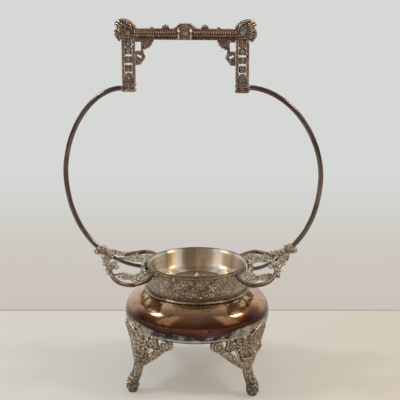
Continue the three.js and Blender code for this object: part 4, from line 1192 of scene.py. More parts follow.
leg = {
    "wing": 60.5,  # radius of the cylinder that the casting is wrapped on
    "top": 50.8,
    "grid": 0.34,
    "turns": {"leg_front_left": -45, "leg_front_right": 45, "leg_rear_left": -135, "leg_rear_right": 135},
    "mirrored": ("leg_front_right", "leg_rear_left"),  # so that the flap is on the outer flank
    "foot": [  # ball, sole and ankle: place and radii
        ((0, 12.8, 6.0), (5.4, 5.4, 5.9)), ((0, 12.8, 0.9), (4.2, 4.2, 1.3)),
        ((0, 11.6, 11.4), (4.5, 4.2, 2.6)),
    ],
    "knee": [((0, 4.2, 30.0), (6.2, 2.9, 5.0)), ((0, 3.2, 35.0), (7.2, 2.6, 5.5))],
    "warts": 20,  # knobs on the foot
    "wartRing": (12.8, 6.2, 4.1, 4.5),  # their middle out and up, and how far they stand out and up
    "spine": [(0, 12.2, 8.5), (0, 9.6, 12.0), (0, 7.3, 16.5), (0, 6.0, 21.5), (0, 5.0, 27.0), (0, 4.2, 33.0)],
    "shank": [4.1, 4.0, 4.0, 4.3, 5.0, 6.0],
    "knobs": [(-2.4, 12.0), (2.2, 13.2), (-1.0, 15.8), (2.9, 17.0), (-3.0, 18.4), (0.4, 19.8), (-2.4, 22.4),
              (2.8, 22.8), (0.2, 24.6), (-2.6, 27.0), (2.4, 27.6), (0, 30.4)],
    "shield": [(0, 26.0), (4.6, 27.0), (6.4, 29.6), (7.4, 33.0), (8.4, 36.5), (9.6, 39.6), (10.6, 43.0),
               (11.6, 47.0), (12.8, 50.8)],
    "band": [(1.6, 5.6, 24.8), (4.8, 4.6, 26.6), (10.0, 3.0, 30.4), (15.2, 1.6, 34.8), (20.0, 0.8, 39.2),
             (23.2, 0.6, 42.0)],  # sweeps from the shank up to the volute
    "bandWidths": [3.5, 3.4, 3.3, 3.2, 3.0, 2.6],
    "bandKnobs": (0.12, 0.24, 0.36, 0.48, 0.6, 0.72, 0.84),
    "web": [(12.0, 39.8), (14.4, 38.4), (21.0, 41.2), (18.2, 44.0), (17.6, 50.6), (12.0, 50.6)],
    "volute": (25.8, 45.2, 5.4),
    "curl": (12.4, 44.0, 4.4),
    "flap": [(9.5, 51.0), (16.0, 53.6), (23.0, 55.8), (29.6, 56.4)],  # top edge along the belly's side
    "flapLow": 45.0,
    "flapLeaves": [((10.5, 46.5), (19.0, 53.0)), ((18.0, 46.0), (25.5, 54.6)), ((24.5, 45.0), (29.4, 53.4))],
}


# Leg space: x along the belly's side, y outward from the wing's cylinder, z up
def wrapLeg(p):
    reach = leg["wing"] + p.y
    angle = p.x / reach
    return Vector((reach * math.sin(angle), -reach * math.cos(angle), max(0.0, p.z)))


def onPlate(x, z, out=0.0):  # place on the leg's plate, which stands further out the lower it is
    return Vector((x, 1.2 + max(0.0, leg["top"] - z) * 0.12 + out, z))


def onFlap(x, z, out=0.0):  # the flap leans out with height, over the belly's lower edge
    return Vector((-x, float(np.interp(z, (45.0, 51.5), (1.8, 3.5))) + out, z))


# Knobbed foot and knotted stem that widens to the knee
def addShank(clay):
    for place, radii in leg["foot"]:
        clay.ball(place, radii)
    out, up, wideReach, highReach = leg["wartRing"]
    for k in range(leg["warts"]):
        rise = 0.94 - 1.8 * (k + 0.5) / leg["warts"]
        turn = k * math.pi * (3 - math.sqrt(5))
        wide = wideReach * math.sqrt(1 - rise * rise)
        place = (wide * math.cos(turn), out + wide * math.sin(turn), up + highReach * rise)
        clay.ball(place, (2.1, 2.1, 2.2), detail=2)
    spine = smoothPath(leg["spine"], 7)
    clay.tube(spine, leg["shank"], 18, up=outFront)
    front = {round(p.z): p.y for p in spine}
    for x, z in leg["knobs"]:
        y = min(front.items(), key=lambda pair: abs(pair[0] - z))[1]
        clay.ball((x, y + 3.0 - abs(x) * 0.3, z), (1.8, 1.4, 2.2), detail=2)
    for side in (-1, 1):
        clay.tube([p + Vector((side * (3.1 + 0.03 * (p.z - 8)), 1.6, 0)) for p in spine], [1.2, 1.1, 1.3], 10)
        clay.leaf((side * 2.0, 11.0, 17.5), (side * 4.4, 14.9, 8.5), (side * 0.5, 1, 0.2), 4.0, 1.6, 3)
    for place, radii in leg["knee"]:
        clay.ball(place, radii)


# Shield at the knee: overlapping pads, so that it can bend with the belly, with a border and leaves
def addShield(clay):
    half = leg["shield"]
    full = half + [(-x, z) for x, z in half[::-1][:-1]]
    for z in np.linspace(26.6, leg["top"] - 0.6, 30):
        for x in np.linspace(-12.6, 12.6, 32):
            if pointIn(full, x, z):
                clay.ball(onPlate(x, z), (1.1, 1.25, 1.1), detail=1)
    clay.leaf(onPlate(0, 31.5, 1.5), onPlate(0, 46.0, 1.2), outFront, 8.0, 2.2, 4)
    clay.ball(onPlate(0, 47.8, 0.9), (2.4, 1.4, 2.4))
    border = smoothPath([onPlate(x, z, 0.7) for x, z in half[2:]], 5)
    for side in (-1, 1):
        clay.tube([Vector((p.x * side, p.y, p.z)) for p in border], [0.8, 1.0, 1.1, 1.0], 8)
        clay.leaf(onPlate(side * 4.4, 34.0, 1.2), onPlate(side * 8.0, 49.4, 1.2), outFront, 6.0, 2.0, 4)
        clay.ball(onPlate(side * 4.4, 31.8, 1.4), (1.6, 1.4, 2.2), detail=2)


# Wing to one side: the band with its knobs, a ribbed web, the volute and the curl
def addWing(clay, side):
    band = smoothPath([(side * x, y, z) for x, y, z in leg["band"]], 7)
    clay.tube(band, leg["bandWidths"], 14, flat=0.66, up=outFront)
    for k, share in enumerate(leg["bandKnobs"]):
        up = 1.0 if k % 2 else -1.0
        clay.ball(along(band, share) + Vector((0, 1.5, up)), (1.9, 1.2, 1.7), detail=2)
    for rim in (-1, 1):
        clay.tube([p + Vector((-side * rim * 1.9, 0.7, rim * 2.3)) for p in band], 0.8, 8)
    web = [(side * x, z) for x, z in leg["web"]]
    clay.plate(web, 1.8, Matrix.Translation((0, 0.9, 0)) @ upright)
    for k in range(2):
        rib = [(13.4 + 2.8 * k, 2.4, 50.2), (15.6 + 1.6 * k, 2.6, 46.2)]
        rib.append((16.6 + 1.6 * k, 2.4, 40.8 + 1.4 * k))
        clay.tube([(side * x, y, z) for x, y, z in rib], 0.9, 8, smooth=6)
    x, z, r = leg["volute"]
    clay.plate(circle(r, 30), 2.6, frameAt((side * x, 0.2, z), (1, 0, 0), outFront))
    clay.spiral((side * x, 2.0, z), outFront, (side * 0.2, 0, -1), r - 1.2, 1.6, 1.5, 1.3, way=side)
    clay.ball((side * x, 2.4, z), (1.6, 1.4, 1.6))
    x, z, r = leg["curl"]
    clay.plate(circle(r - 0.4, 26), 2.4, frameAt((side * x, 1.6, z), (1, 0, 0), outFront))
    clay.spiral((side * x, 3.2, z), outFront, (side, 0, 0), r - 1.0, 1.4, 1.2, 1.05, way=-side)
    clay.ball((side * x, 3.6, z), (1.2, 1.1, 1.2))


# Leafy flap on the outer flank, risen over the belly's lower edge
def addFlap(clay):
    reaches, tops = zip(*leg["flap"])
    for x in np.arange(reaches[0], reaches[-1], 0.75):
        for z in np.arange(leg["flapLow"], np.interp(x, reaches, tops), 0.8):
            clay.ball(onFlap(x, z), (1.0, 1.1, 1.0), detail=1)
    clay.tube([onFlap(x, z, -0.1) for x, z in leg["flap"]], [0.9, 1.1, 1.1, 0.9], 10, up=outFront, smooth=6)
    for base, tip in leg["flapLeaves"]:
        clay.leaf(onFlap(*base, 0.9), onFlap(*tip, 0.9), outFront, 5.4, 1.7, 4)


def makeLegs():
    clay = Clay()
    addShank(clay)
    addShield(clay)
    addWing(clay, -1)
    addWing(clay, 1)
    addFlap(clay)
    clay.warped(wrapLeg)
    mesh = clay.cast("legCasting", leg["grid"], 2, 14)
    for node, turn in leg["turns"].items():
        copy = mesh.copy()
        if node in leg["mirrored"]:
            copy.transform(Matrix.Scale(-1, 4, (1, 0, 0)))
            copy.flip_normals()
        copy.transform(Matrix.Rotation(math.radians(turn), 4, "Z"))
        finished(node.replace("leg_", "legCast_"), copy, "castPewter", node)


makeLegs()
print("legs made")

hoop = {
    "halfWidth": 111.3, "wideZ": 182.0,  # where it is widest
    "lowerReach": 56.4,  # how far in the lower ellipse would come
    "endAngle": math.radians(62.0),  # at the knuckle, below the widest place
    "endShift": -1.9,  # of both lower ends, to the left
    "crownZ": 256.8, "exit": 55.0, "bore": 4.0,  # where it leaves its socket, and how deep it sits there
    "leanHoop": -4.2, "leanHandle": -9.9, "leanKnuckle": 2.5,  # the used frame is racked
    "knuckleZ": 112.5,
    "shoulder": 1.08,  # a little flatter at the shoulder than an ellipse
    "lift": 1.6,  # how much higher the right end enters its socket
    "steps": 120, "radius": 2.2, "rod": 1.7,
    "wire": {"Sides": 28, "Waver": 0.5},
}
boss = {"reach": 47.6, "z": 97.0, "sag": 0.75}


def hoopPath(side):
    h = hoop
    start = side * (h["exit"] - h["bore"]) + h["leanHandle"]
    out = side * h["exit"] + h["leanHandle"]
    wide = side * h["halfWidth"] + h["leanHoop"]
    last = h["endAngle"]
    endX = side * (h["halfWidth"] - h["lowerReach"] * (1 - math.cos(last))) + h["endShift"]
    endZ = h["knuckleZ"] + side * h["leanKnuckle"]
    crown = h["crownZ"] + (h["lift"] if side > 0 else 0)
    path = [Vector((start, 0, crown))]
    drop = (h["wideZ"] - endZ) / math.sin(last)
    inward = (endX - wide) / (1 - math.cos(last))
    for i in range(h["steps"] + 1):
        angle = math.pi / 2 - (math.pi / 2 + last) * i / h["steps"]
        if angle > 0:
            x = out + (wide - out) * math.cos(angle) ** h["shoulder"]
            z = h["wideZ"] + (crown - h["wideZ"]) * math.sin(angle) ** h["shoulder"]
        else:
            x = wide + inward * (1 - math.cos(angle))
            z = h["wideZ"] + drop * math.sin(angle)
        path.append(Vector((x, 0, z)))
    return path


def rodPath(side):
    path = hoopPath(side)
    start = path[-1] + (path[-1] - path[-2]).normalized() * 2
    end = Vector((side * boss["reach"], 0, boss["z"]))
    sag = Vector(((start.x + end.x) / 2, 0, boss["z"] + boss["sag"]))
    return [start * (1 - t) ** 2 + sag * 2 * t * (1 - t) + end * t * t for t in (i / 30 for i in range(31))]


for side, word in hands:
    for name, path, radius, node in (
        ("hoopArm_", hoopPath(side), hoop["radius"], "hoop_arm_"),
        ("centreRod_", rodPath(side), hoop["rod"], "centre_rod_"),
    ):
        makeWire(name + word, path, radius, hoop["wire"], 3.0 + side, "darkWire", node + word)
print("wires made")


# Cluster of blossoms, buds and leaves where wire, rod and side branches meet
def makeKnuckle(side, word):
    clay = Clay()
    path = hoopPath(side)
    outward = (path[-4] - path[-1]).normalized()
    over = Vector((-side * outward.z, 0, side * outward.x))

    def spot(u, w, v):  # along the wire, over it and to the front
        return path[-1] + outward * u + over * w + Vector((0, v, 0))

    stem = [spot(7.0, 0, 0), spot(3, 0, 0), spot(-3, -0.4, 0), spot(-9.5, -0.2, 0)]
    clay.tube(stem, [2.5, 3.1, 3.3, 2.2], 16)
    for face in (-1, 1):
        facing = (0, face, 0)
        clay.flower(spot(1.2, 0.4, face * 2.6), facing, 5, 2.5, (2.1, 1.7, 1.2), 0.1, (1.6, 1.6, 1.5))
        clay.ball(spot(3.8, -3.2, face * 1.8), (2.4, 2.2, 2.4))
        clay.ball(spot(-4.2, -3.6, face * 3.0), (2.8, 2.1, 2.4))
        clay.leaf(spot(-2, 0.4, face * 1.8), spot(-9.8, 0.8, face * 2.6), (0, face, 0.6), 4.2, 1.6, 3)
        clay.leaf(spot(-1, -2.0, face * 2.4), spot(-7.0, -6.2, face * 4.0), facing, 4.2, 1.6, 2)
    clay.ball(spot(1.6, 2.4, 0), (2.8, 2.5, 2.4))
    clay.ball(spot(5.0, -3.6, 0), (2.9, 2.7, 2.9))
    clay.leaf(spot(-1.5, 1.6, 0), spot(-8.0, 3.2, 0), over, 3.6, 1.4, 2)
    node = "knuckle_" + word
    finished("knuckleCast_" + word, clay.cast(node, 0.26, 3, 14), "castPewter", node)


# Ball, flower and hanging leaf where a rod meets the collar
def makeBoss(side, word):
    clay = Clay()

    def spot(out, y, up):  # outward from the boss, to the front and up
        return (side * (boss["reach"] + out), y, boss["z"] + up)

    clay.ball(spot(0, 0, 0), (3.1, 3.0, 3.1))
    clay.flower(spot(1.2, 0, 0), (side, 0, 0), 6, 1.9, (1.2, 0.9, 0.8), 0.2, (1.7, 1.7, 1.9), outFront)
    clay.leaf(spot(-0.6, 0, 1), spot(-1.4, 0, -12.5), (side, 0, 0.1), 6.6, 1.9, 4)
    clay.tube([spot(-1.4, 0, 0), spot(-1.8, 0, -11)], [2.0, 1.1], 10)
    clay.tube([spot(-1.2, 0, 0), spot(-1.6, 0, 5.2)], [1.9, 1.5], 10)
    for face in (-1, 1):
        clay.leaf(spot(-0.8, face * 0.8, 0), spot(-2.2, face * 8.0, -4.5), (side, face * 0.2, 0), 4.2, 1.4, 3)
    node = "arm_boss_" + word
    finished("armBossCast_" + word, clay.cast(node, 0.26), "castPewter", node)


loop = {
    "spread": 49.0, "z": 96.8, "lean": 1.2, "inner": 37.2,
    "route": [  # shares of the way in, out and up
        (0, 0.12, 0.88), (0.1, 0.3, 0.7), (0.2, 0.53, 0.38), (0.3, 0.72, 0.1), (0.46, 0.9, 0), (0.67, 1, 0),
        (0.79, 0.93, 0.02), (0.925, 0.77, 0.06), (1, 0.56, 0.13),
    ],
    "fan": (46.0, 28.5, 8.2, 12.0),  # middle out and along, half width out and along
    "strip": [(48.6, 4, -1.0), (48.0, 12, -1.2), (45.4, 20, -1.0), (40.5, 26.5, -0.3)],
    "twig": [(74.0, 25, 0.6), (70, 24.2, 0.6), (65, 24.0, 0.6), (58, 26, 0.4)],
    "knots": (0.05, 0.11, 0.17, 0.23),  # leaves and buds along the branch
    "branch": 0.34,  # share of the route where the branch ends
    "railStart": 0.22,  # and where the smooth rail starts
    "rail": 1.85,
    "wire": {"Sides": 24, "Waver": 0.8},
}


def makeLoop(side, word, face, where):
    clay = Clay()
    at = hoopPath(side)[-1]
    low = loop["z"] + side * loop["lean"]
    reach = side * loop["inner"] - at.x
    path = smoothPath([(at.x + reach * a, face * loop["spread"] * b, low + (at.z - low) * c)
                       for a, b, c in loop["route"]])
    up = Vector((0, 0, 1))
    inward = Vector((-side * 0.95, -face * 0.1, 0))

    def spot(a, b, z=0.0):  # out from the axis, along the front and over the loop
        return Vector((side * a, face * b, low + z))

    # thick knotted branch below the knuckle: leaves and buds to both sides
    clay.tube(path[:int(len(path) * loop["branch"])], [2.2, 2.4, 2.1, 1.7], 14)
    for k, share in enumerate(loop["knots"]):
        near, far = along(path, share), along(path, share + 0.08)
        out = Vector((side * 0.8, face * 0.5, 0.0)) * (1 if k % 2 else -1)
        clay.leaf(near + out * 1.2 + up * 0.5, far + out * 3.2 + up * 0.2, up + out * 0.5, 4.2, 1.6, 2)
        clay.ball(near + out * 2.2 - up * 0.8, (1.9, 2.4, 1.8))
    # long buds and a leaf that hang inward from the branch
    near = along(path, 0.17)
    clay.ball(near + inward * 5.0 + Vector((0, -face * 1, -0.8)), (2.8, 4.4, 2.0))
    clay.ball(near + inward * 8.4 + Vector((0, face * 2.0, -2.0)), (2.4, 4.4, 1.8))
    clay.leaf(near + inward * 2.5, near + inward * 8 + Vector((0, -face * 8, 0.2)), up, 4.6, 1.6, 3)
    # twig and leaves across the opening
    clay.tube([spot(*place) for place in loop["twig"]], [1.3, 1.2, 1.4], 8, smooth=6)
    clay.ball(spot(60.0, 26.5, -0.2), (7.8, 6.6, 1.6))
    clay.leaf(spot(53.5, 28, 0.6), spot(67.0, 23.5, 0.8), up, 12.0, 1.5, 4, arch=0.6)
    if where == "back":
        clay.leaf(spot(59.5, 44.0, -0.8), spot(57.2, 18.0, 0.2), up, 12.5, 2.0, 4, arch=0.4)
        clay.leaf(spot(70.0, 38.5, -0.6), spot(60, 33, -0.4), up, 8.0, 1.8, 3)
    # beaded fan next to the collar
    out, far, halfOut, halfFar = loop["fan"]

    def ring(share, lift):
        return [spot(x, y, lift) for y, x in
                arc((far, out), (-halfFar * share, halfOut * share), 0, fullTurn, 41)]

    clay.ball(spot(out, far, -0.4), (halfOut, halfFar, 2.0))
    clay.tube(ring(1.0, -0.3), 1.3, 8)
    clay.beads(ring(0.66, 0.9), 3.6, (1.6, 1.7, 1.2))
    clay.leaf(spot(out, far + 5, 1.2), spot(out, far - 6.5, 1.4), up, 6.0, 1.6, 3)
    clay.tube([spot(out, far + halfFar - 1, -0.4), spot(out + 1, far + halfFar + 6.5, -0.4)], [1.7, 1.2], 8)
    # strip along the collar, from the boss to the loop's end
    clay.tube([spot(*place) for place in loop["strip"]], [1.4, 1.8, 1.8, 1.5], 10, smooth=7)
    clay.leaf(spot(48.8, 5, 0.5), spot(43.5, 24, 0.6), (side, -face * 0.25, 0.6), 5.0, 1.7, 4)
    if where == "back":
        clay.ball(spot(45.8, 27, 0.4), (3.0, 3.0, 2.8))
    node = f"loop_{where}_{word}"
    finished(f"loopCast_{where}_{word}", clay.cast(node, 0.32, 2, 14), "castPewter", node)
    rail = path[int(len(path) * loop["railStart"]):]
    makeWire(f"loopRail_{where}_{word}", rail, loop["rail"], loop["wire"], 7.0 + side, "loopRail")


for maker in (makeKnuckle, makeBoss):
    for side, word in hands:
        maker(side, word)
for side, word in hands:
    makeLoop(side, word, -1, "front")
    makeLoop(side, word, 1, "back")
print("knuckles, bosses and loops made")

handle = {
    "lean": hoop["leanHandle"],
    "post": 48.5,  # from the middle to a post
    "low": 298.5, "high": 307.8, "half": 43.5,  # the bar's height and half its length
}
alongPost = {"sides": 8, "up": outFront}  # thin rods in the posts


# Casts a piece of the handle, drawn about the middle, in its place on the leaning frame
def castOnHandle(clay, name, node, grid=0.2, blur=14):
    clay.shifted(handle["lean"])
    finished(name, clay.cast(node, grid, 1, blur), "ruddyCasting", node)


bar = {
    "section": [
        (3.5, 298.5), (3.8, 298.9), (3.8, 299.9), (3.4, 300.3), (2.5, 300.6), (2.5, 301.7), (3.3, 302.0),
        (3.5, 302.8), (3.1, 303.3), (2.6, 303.5), (2.6, 306.7), (3.6, 306.9), (3.9, 307.1), (3.9, 307.5),
        (3.6, 307.8),
    ],
    "bevel": 0.12,
    "beads": (2.8, 305.1, 2.0, (0.68, 0.9, 1.5)),  # how far out, height, pitch, radii
    "beadEnds": (8.2, 42.5),
    "columns": (5.2, 4.4, 299.2, 8.8),  # beside the block: out along the bar, out, foot, height
}


# Straight moulding along x from a section in y and z
def moulding(name, section, low, high, bevel):
    count = len(section)
    points = [(x * mm, y * mm, z * mm) for x in (low, high) for y, z in section]
    faces = [tuple(range(count)), tuple(range(2 * count - 1, count - 1, -1))]
    faces += [(i, i + count, (i + 1) % count + count, (i + 1) % count) for i in range(count)]
    piece = linked(name, meshFrom(name, points, faces))
    turnOut(piece.data)
    edge = piece.modifiers.new("edge", "BEVEL")
    edge.width, edge.segments, edge.limit_method = bevel * mm, 2, "ANGLE"
    return evaluated(piece, name)


def makeBar():
    section = bar["section"] + [(-y, z) for y, z in bar["section"][::-1]]
    lean, half = handle["lean"], handle["half"]
    mesh = moulding("barCasting", section, lean - half, lean + half, bar["bevel"])
    finished("barMoulding", mesh, "ruddyBar", "handle_bar", sharp=30)
    # Beads and small columns in pale metal, as painted highlights
    string = Clay()
    out, z, pitch, bead = bar["beads"]
    columnX, columnOut, foot, height = bar["columns"]
    for side in (-1, 1):
        for face in (-1, 1):
            string.beads([(lean + side * x, face * out, z) for x in bar["beadEnds"]], pitch, bead)
    for face in (-1, 1):
        for side in (-1, 1):
            low = Vector((lean + side * columnX, face * columnOut, foot))
            string.tube([low, low + Vector((0, 0, height))], 0.85, 10, up=outFront)
            for up in (0.2, height - 0.2):
                string.ball(low + Vector((0, 0, up)), (1.2, 0.9, 0.6))
    mesh = string.plain("barBeads")
    turnOut(mesh)
    finished("barBeads", mesh, "paleHighlightMetal")


block = {
    "half": [
        (5.5, 298.5), (5.5, 307.6), (10.9, 307.7), (8.9, 308.7), (7.2, 309.9), (6.1, 311.1), (5.2, 311.95),
        (4.7, 312.1),
    ],
    "depth": 8.2,
    "face": 4.3,
    "rosette": (8, 2.2, (1.4, 0.8, 0.9), 0.0, (1.3, 1.3, 1.3)),
}


def makeBlock():
    clay = Clay()
    low, high = handle["low"], handle["high"]
    clay.plate(block["half"] + [(-x, z) for x, z in block["half"][::-1]], block["depth"], upright)
    for face in (-1, 1):
        shift = (0, face * block["face"], 0)
        for x in (-5.1, 5.1):
            clay.box((x - 0.7, -0.7, low + 0.2), (x + 0.7, 0.7, high + 1.4), shift)
            clay.box((x - 1.05, -0.8, high - 0.9), (x + 1.05, 0.8, high + 0.2), shift)
            clay.box((x - 1.05, -0.8, low), (x + 1.05, 0.8, low + 1.0), shift)
        facing = (0, face, 0)
        clay.flower((0, face * 4.2, 303.6), facing, *block["rosette"])
        clay.leaf((0, face * 4.2, 305.8), (0, face * 4.3, 310.6), facing, 4.6, 1.1, 3)
        clay.leaf((0, face * 4.2, 301.6), (0, face * 4.3, 298.9), facing, 3.8, 1.0, 2)
    castOnHandle(clay, "centreBlockCast", "centre_block")


finials = {  # reach from the middle, radius, ribs
    "large": (16.7, 3.2, 12),
    "small": (28.3, 1.5, 8),
}


def makeFinials(side, word):
    top = handle["high"]
    for size, (reach, radius, ribs) in finials.items():
        clay = Clay()
        petal = (radius * 0.5, radius * 0.19, radius * 0.86)
        eye = (radius * 0.86, radius * 0.86, radius * 0.9)
        clay.flower((side * reach, 0, top + 0.1), (0, 0, 1), ribs, radius * 0.52, petal, 0.0, eye)
        clay.ball((side * reach, 0, top + radius * 0.95), radius * 0.2)
        clay.warped(lambda p: Vector((p.x, p.y, max(p.z, top))))
        castOnHandle(clay, f"finialCast_{size}_{word}", f"finial_{size}_{word}", 0.16, 5)


post = {
    "low": 261.1, "high": 298.6,
    "rails": [(4.75, 0.95, 2.3), (3.5, 0.45, 1.5)],  # middle, half width, half depth
    "edges": [(3.4, 1.6, 0.42), (5.0, 2.2, 0.55)],  # middle out, depth, radius
    "rosettes": (273.8, 281.2, 288.6),
    "rosette": (8, 1.6, (1.1, 0.55, 0.7), 0.0, (1.0, 1.0, 1.1)),
    "lowFlower": (6, 1.0, (0.85, 0.5, 0.7), 0, (0.7, 0.7, 0.8)),
    "highFlower": (8, 1.7, (1.2, 0.6, 0.8), 0, (1.1, 1.1, 1.1)),
}


def makePost(side, word):
    clay = Clay()
    low, high = post["low"], post["high"]
    for x in (-1, 1):
        for middle, half, depth in post["rails"]:
            clay.box((x * middle - half, -depth, low), (x * middle + half, depth, high))
        for out, y, radius in post["edges"]:
            for face in (-1, 1):
                ends = [(x * out, face * y, low + 0.3), (x * out, face * y, high - 0.3)]
                clay.tube(ends, radius, **alongPost)
    for z in post["rosettes"]:
        for k in range(4):  # square rosette of four round petals
            turn = math.pi / 4 + k * math.pi / 2
            clay.ball((1.9 * math.cos(turn), 0, z + 2.3 * math.sin(turn)), (1.5, 1.75, 1.5))
        for face in (-1, 1):
            clay.flower((0, face * 1.5, z), (0, face, 0), *post["rosette"])
            clay.ball((face * 2.7, 0, z), (1.0, 1.3, 1.9))
    clay.plate([(-3.2, low), (3.2, low)] + arc((0, 267.3), (2.9, 3.0), 0, math.pi, 13), 3.0, upright)
    clay.plate([(3.2, high), (-3.2, high)] + arc((0, 294.0), (2.9, -2.9), math.pi, 0, 13), 3.0, upright)
    for face in (-1, 1):
        facing = (0, face, 0)
        hood = [(x, face * 1.5, z) for x, z in arc((0, 267.2), (2.2, 2.4), 0, math.pi, 14)]
        clay.tube(hood, 0.5, **alongPost)
        clay.flower((0, face * 1.5, 267.0), facing, *post["lowFlower"])
        clay.leaf((0, face * 1.4, 261.6), (0, face * 1.6, 265.6), facing, 3.2, 1.0, 2)
        clay.flower((0, face * 1.5, 294.6), facing, *post["highFlower"])
        clay.ball((0, face * 1.5, 297.6), (1.8, 0.7, 0.7))
    clay.box((-3.4, -1.7, low), (3.4, 1.7, low + 0.9))
    clay.warped(lambda p: Vector((p.x, p.y, min(p.z, high))))
    clay.shifted(side * handle["post"])
    castOnHandle(clay, "postCast_" + word, "handle_post_" + word)


socket = {
    "waist": ((-5.0, -2.6, 253.8), (5.0, 2.6, 260.7)),
    "mouldings": [(255.3, 5.0), (259.5, 4.9)],  # height and half width, above and below the waist
    "face": 2.7,
    "round": 1.4,
    "flower": (6, 1.1, (0.9, 0.6, 0.9), 0, (0.8, 0.8, 1.0)),
    "collar": (4.4, 6.8, [3.0, 2.7]),  # round the wire: start, end, radii
}


def makeSocket(side, word):
    clay = Clay()
    clay.box(*socket["waist"])
    out, r = socket["face"], socket["round"]
    for z, half in socket["mouldings"]:
        clay.box((-half, -2.9, z - 1.2), (half, 2.9, z + 1.2))
        for y in (-out, out):
            clay.tube([(-half, y, z), (half, y, z)], r, 12, up=outFront)
        for x in (-half, half):
            clay.tube([(x, -out, z), (x, out, z)], r, 12)
            for y in (-out, out):
                clay.ball((x, y, z), r, detail=2)
    for face in (-1, 1):
        clay.flower((0, face * out, 257.4), (0, face, 0), *socket["flower"])
    height = hoop["crownZ"] + (hoop["lift"] if side > 0 else 0)
    start, end, radii = socket["collar"]
    clay.tube([(side * start, 0, height), (side * end, 0, height)], radii, 20, up=outFront)
    clay.shifted(side * handle["post"])
    castOnHandle(clay, "socketCast_" + word, "socket_block_" + word, 0.22)


palmette = {
    "outline": [(41.9, 298.2), (41.9, 307.8), (43.2, 309.8), (45.2, 311.9), (47.8, 313.5), (51.2, 314.5),
                (54.6, 314.7), (57.4, 313.7), (59.2, 311.9), (59.6, 310.0), (58.4, 307.8), (60.0, 305.0),
                (59.6, 302.2), (58.4, 299.8), (57.0, 297.6), (54.0, 298.2)],
    "rim": [(42.6, 0, 308.0), (43.6, 0, 309.8), (45.4, 0, 311.8), (48.0, 0, 313.3), (51.2, 0, 314.3),
            (54.6, 0, 314.5), (57.4, 0, 313.5), (59.0, 0, 311.8), (59.4, 0, 310.2)],
    "rimWidths": [1.0, 1.4, 1.5, 1.5, 1.3, 1.1, 0.9],
    "lobe": [(58.4, 0, 307.4), (59.4, 0, 305.0), (59.1, 0, 302.2), (57.9, 0, 299.8), (56.4, 0, 297.6)],
    "lobeWidths": [1.3, 1.5, 1.3, 0.9],
    "bead": (2.1, (1.0, 0.8, 1.0)),
    "fan": [(54.6, 312.4), (56.0, 310.6), (56.8, 308.6), (57.0, 306.6)],  # ribs in pale metal, as painted highlights
    "ovalPlace": (49.2, 0.9, 306.8),
    "oval": (4.9, 3.5, 2.4),
}


def makePalmette(side, word):
    clay = Clay()
    clay.plate(palmette["outline"], 2.2, upright)
    rim, lobe = smoothPath(palmette["rim"], 6), smoothPath(palmette["lobe"], 5)
    clay.tube(rim, palmette["rimWidths"], 14, up=outFront)
    clay.tube(lobe, palmette["lobeWidths"], 12)
    for face in (-1, 1):
        clay.beads([p + Vector((0, face * 1.5, 0)) for p in rim[:-5]], *palmette["bead"])
        clay.beads([p + Vector((0, face * 1.3, 0)) for p in lobe], *palmette["bead"])
        clay.beads([(43.4, face * 1.7, 300.4), (55.0, face * 1.7, 300.4)], 2.2, (0.9, 0.8, 0.8))
        clay.box((42.0, -0.5, 302.0), (56.4, 0.5, 302.9), (0, face * 1.6, 0))
        clay.spiral((56.8, face * 1.5, 302.4), (0, face, 0), (1, 0, 0), 2.2, 0.7, 1.2, 0.75)
    if side < 0:
        clay.mirrored()
    castOnHandle(clay, "palmetteCast_" + word, "end_palmette_" + word)


# Painted highlights as pale pieces: rails inside the posts and the ribs that fan out at the handle's ends
def makeHighlightEdges(side, word):
    rails, fan, oval = Clay(), Clay(), Clay()
    for x in (-3.35, 3.35):
        for y in (-1.75, 1.75):
            rails.tube([(x, y, 261.6), (x, y, 298.4)], 0.55, 10, up=outFront)
    rails.shifted(side * handle["post"])
    for face in (-1, 1):
        for x, z in palmette["fan"]:
            start, end = Vector((x - 2.2, face * 2.2, z - 1.9)), Vector((x + 2.1, face * 2.1, z + 1.5))
            middle = start.lerp(end, 0.5) + Vector((0, face * 0.2, 0))
            fan.tube([start, middle, end], [0.45, 0.75, 0.6], 10)
        brow = [(x, face * 2.5, z) for x, z in arc((50.0, 306.4), (-4.9, 6.3), 0.0, 1.5, 12)]
        fan.tube(brow, [0.4, 0.55, 0.4], 8, up=outFront)
        x, y, z = palmette["ovalPlace"]
        oval.ball((0, 0, 0), palmette["oval"], frameAt((x, face * y, z), (0.35, 0, 0.94), (0, face, 0)))
    if side < 0:
        fan.mirrored()
        oval.mirrored()
    rails.put(fan.points, fan.faces)
    for clay, name, finish in (
        (rails, "highlightEdges_", "paleHighlightMetal"),
        (oval, "ovalBoss_", "greyOval" if side > 0 else "ruddyBar"),
    ):
        clay.shifted(handle["lean"])
        mesh = clay.plain(name)
        turnOut(mesh)
        finished(name + word, mesh, finish)


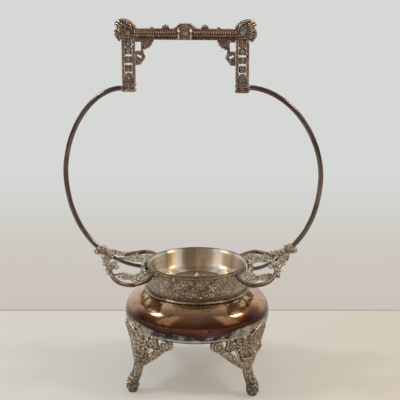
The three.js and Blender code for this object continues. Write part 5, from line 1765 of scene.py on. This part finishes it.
bracket = {
    "top": 298.7, "side": 42.5,
    "stems": [  # points, widths
        ([(36.7, 0, 298.7), (36.7, 0, 292), (36.6, 0, 286.6), (35.5, 0, 283.8), (36.2, 0, 281.8)],
         [1.15, 1.15, 1.3, 1.6, 1.3]),
        ([(42.2, 0, 285.6), (40.7, 0, 287.2), (38.7, 0, 286.9), (37.2, 0, 285.2)], [1.3, 1.8, 1.8, 1.5]),
        ([(36.0, 0, 283.6), (36.6, 0, 281.6), (38.0, 0, 279.4)], [1.5, 1.4, 1.2]),
    ],
    "lumps": [((39.8, 0, 280.0), (2.9, 1.7, 3.3)), ((41.0, 0, 282.6), (1.5, 1.4, 1.6))],
    "plates": [((41.2, -1.2, 276.6), (42.45, 1.2, 288.4)), ((35.4, -1.4, 296.4), (42.4, 1.4, 298.7))],
    "fan": (35.6, 7.0, 7.7),  # its corner along the bar, and how far it reaches along and down
    "ribs": [math.radians(192 + 22 * k) for k in range(4)],
    "rib": (3.6, 0.85, 1.1),
}


def makeBracket(side, word):
    clay = Clay()
    top = bracket["top"]
    for points, widths in bracket["stems"]:
        clay.tube(points, widths, 10, up=outFront, smooth=6)
    for place, radii in bracket["lumps"]:
        clay.ball(place, radii)
    for low, high in bracket["plates"]:
        clay.box(low, high)
    corner, wide, drop = bracket["fan"]
    clay.plate([(corner, top)] + arc((corner, top), (wide, drop), math.pi, 1.5 * math.pi, 19), 1.4, upright)
    for face in (-1, 1):
        for turn in bracket["ribs"]:
            out = Vector((math.cos(turn), 0, math.sin(turn)))
            rib = frameAt(Vector((35.8, face * 0.8, top)) + out * 4.6, out, outFront)
            clay.ball((0, 0, 0), bracket["rib"], rib @ upright)
            clay.ball(Vector((35.8, face * 0.6, top)) + out * 7.7, (1.4, 1.1, 1.4), detail=2)
        clay.ball((39.8, face * 1.3, 279.8), (1.2, 0.8, 1.5))
    clay.warped(lambda p: Vector((min(p.x, bracket["side"]), p.y, min(p.z, top))))
    if side < 0:
        clay.mirrored()
    castOnHandle(clay, "bracketCast_" + word, "corner_bracket_" + word)


makeBar()
makeBlock()
for maker in (makeFinials, makePost, makeSocket, makePalmette, makeHighlightEdges, makeBracket):
    for side, word in hands:
        maker(side, word)
print("handle made")

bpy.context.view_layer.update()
total = sum(len(p.data.polygons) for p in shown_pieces() if p.type == "MESH")
print("faces in all:", total)
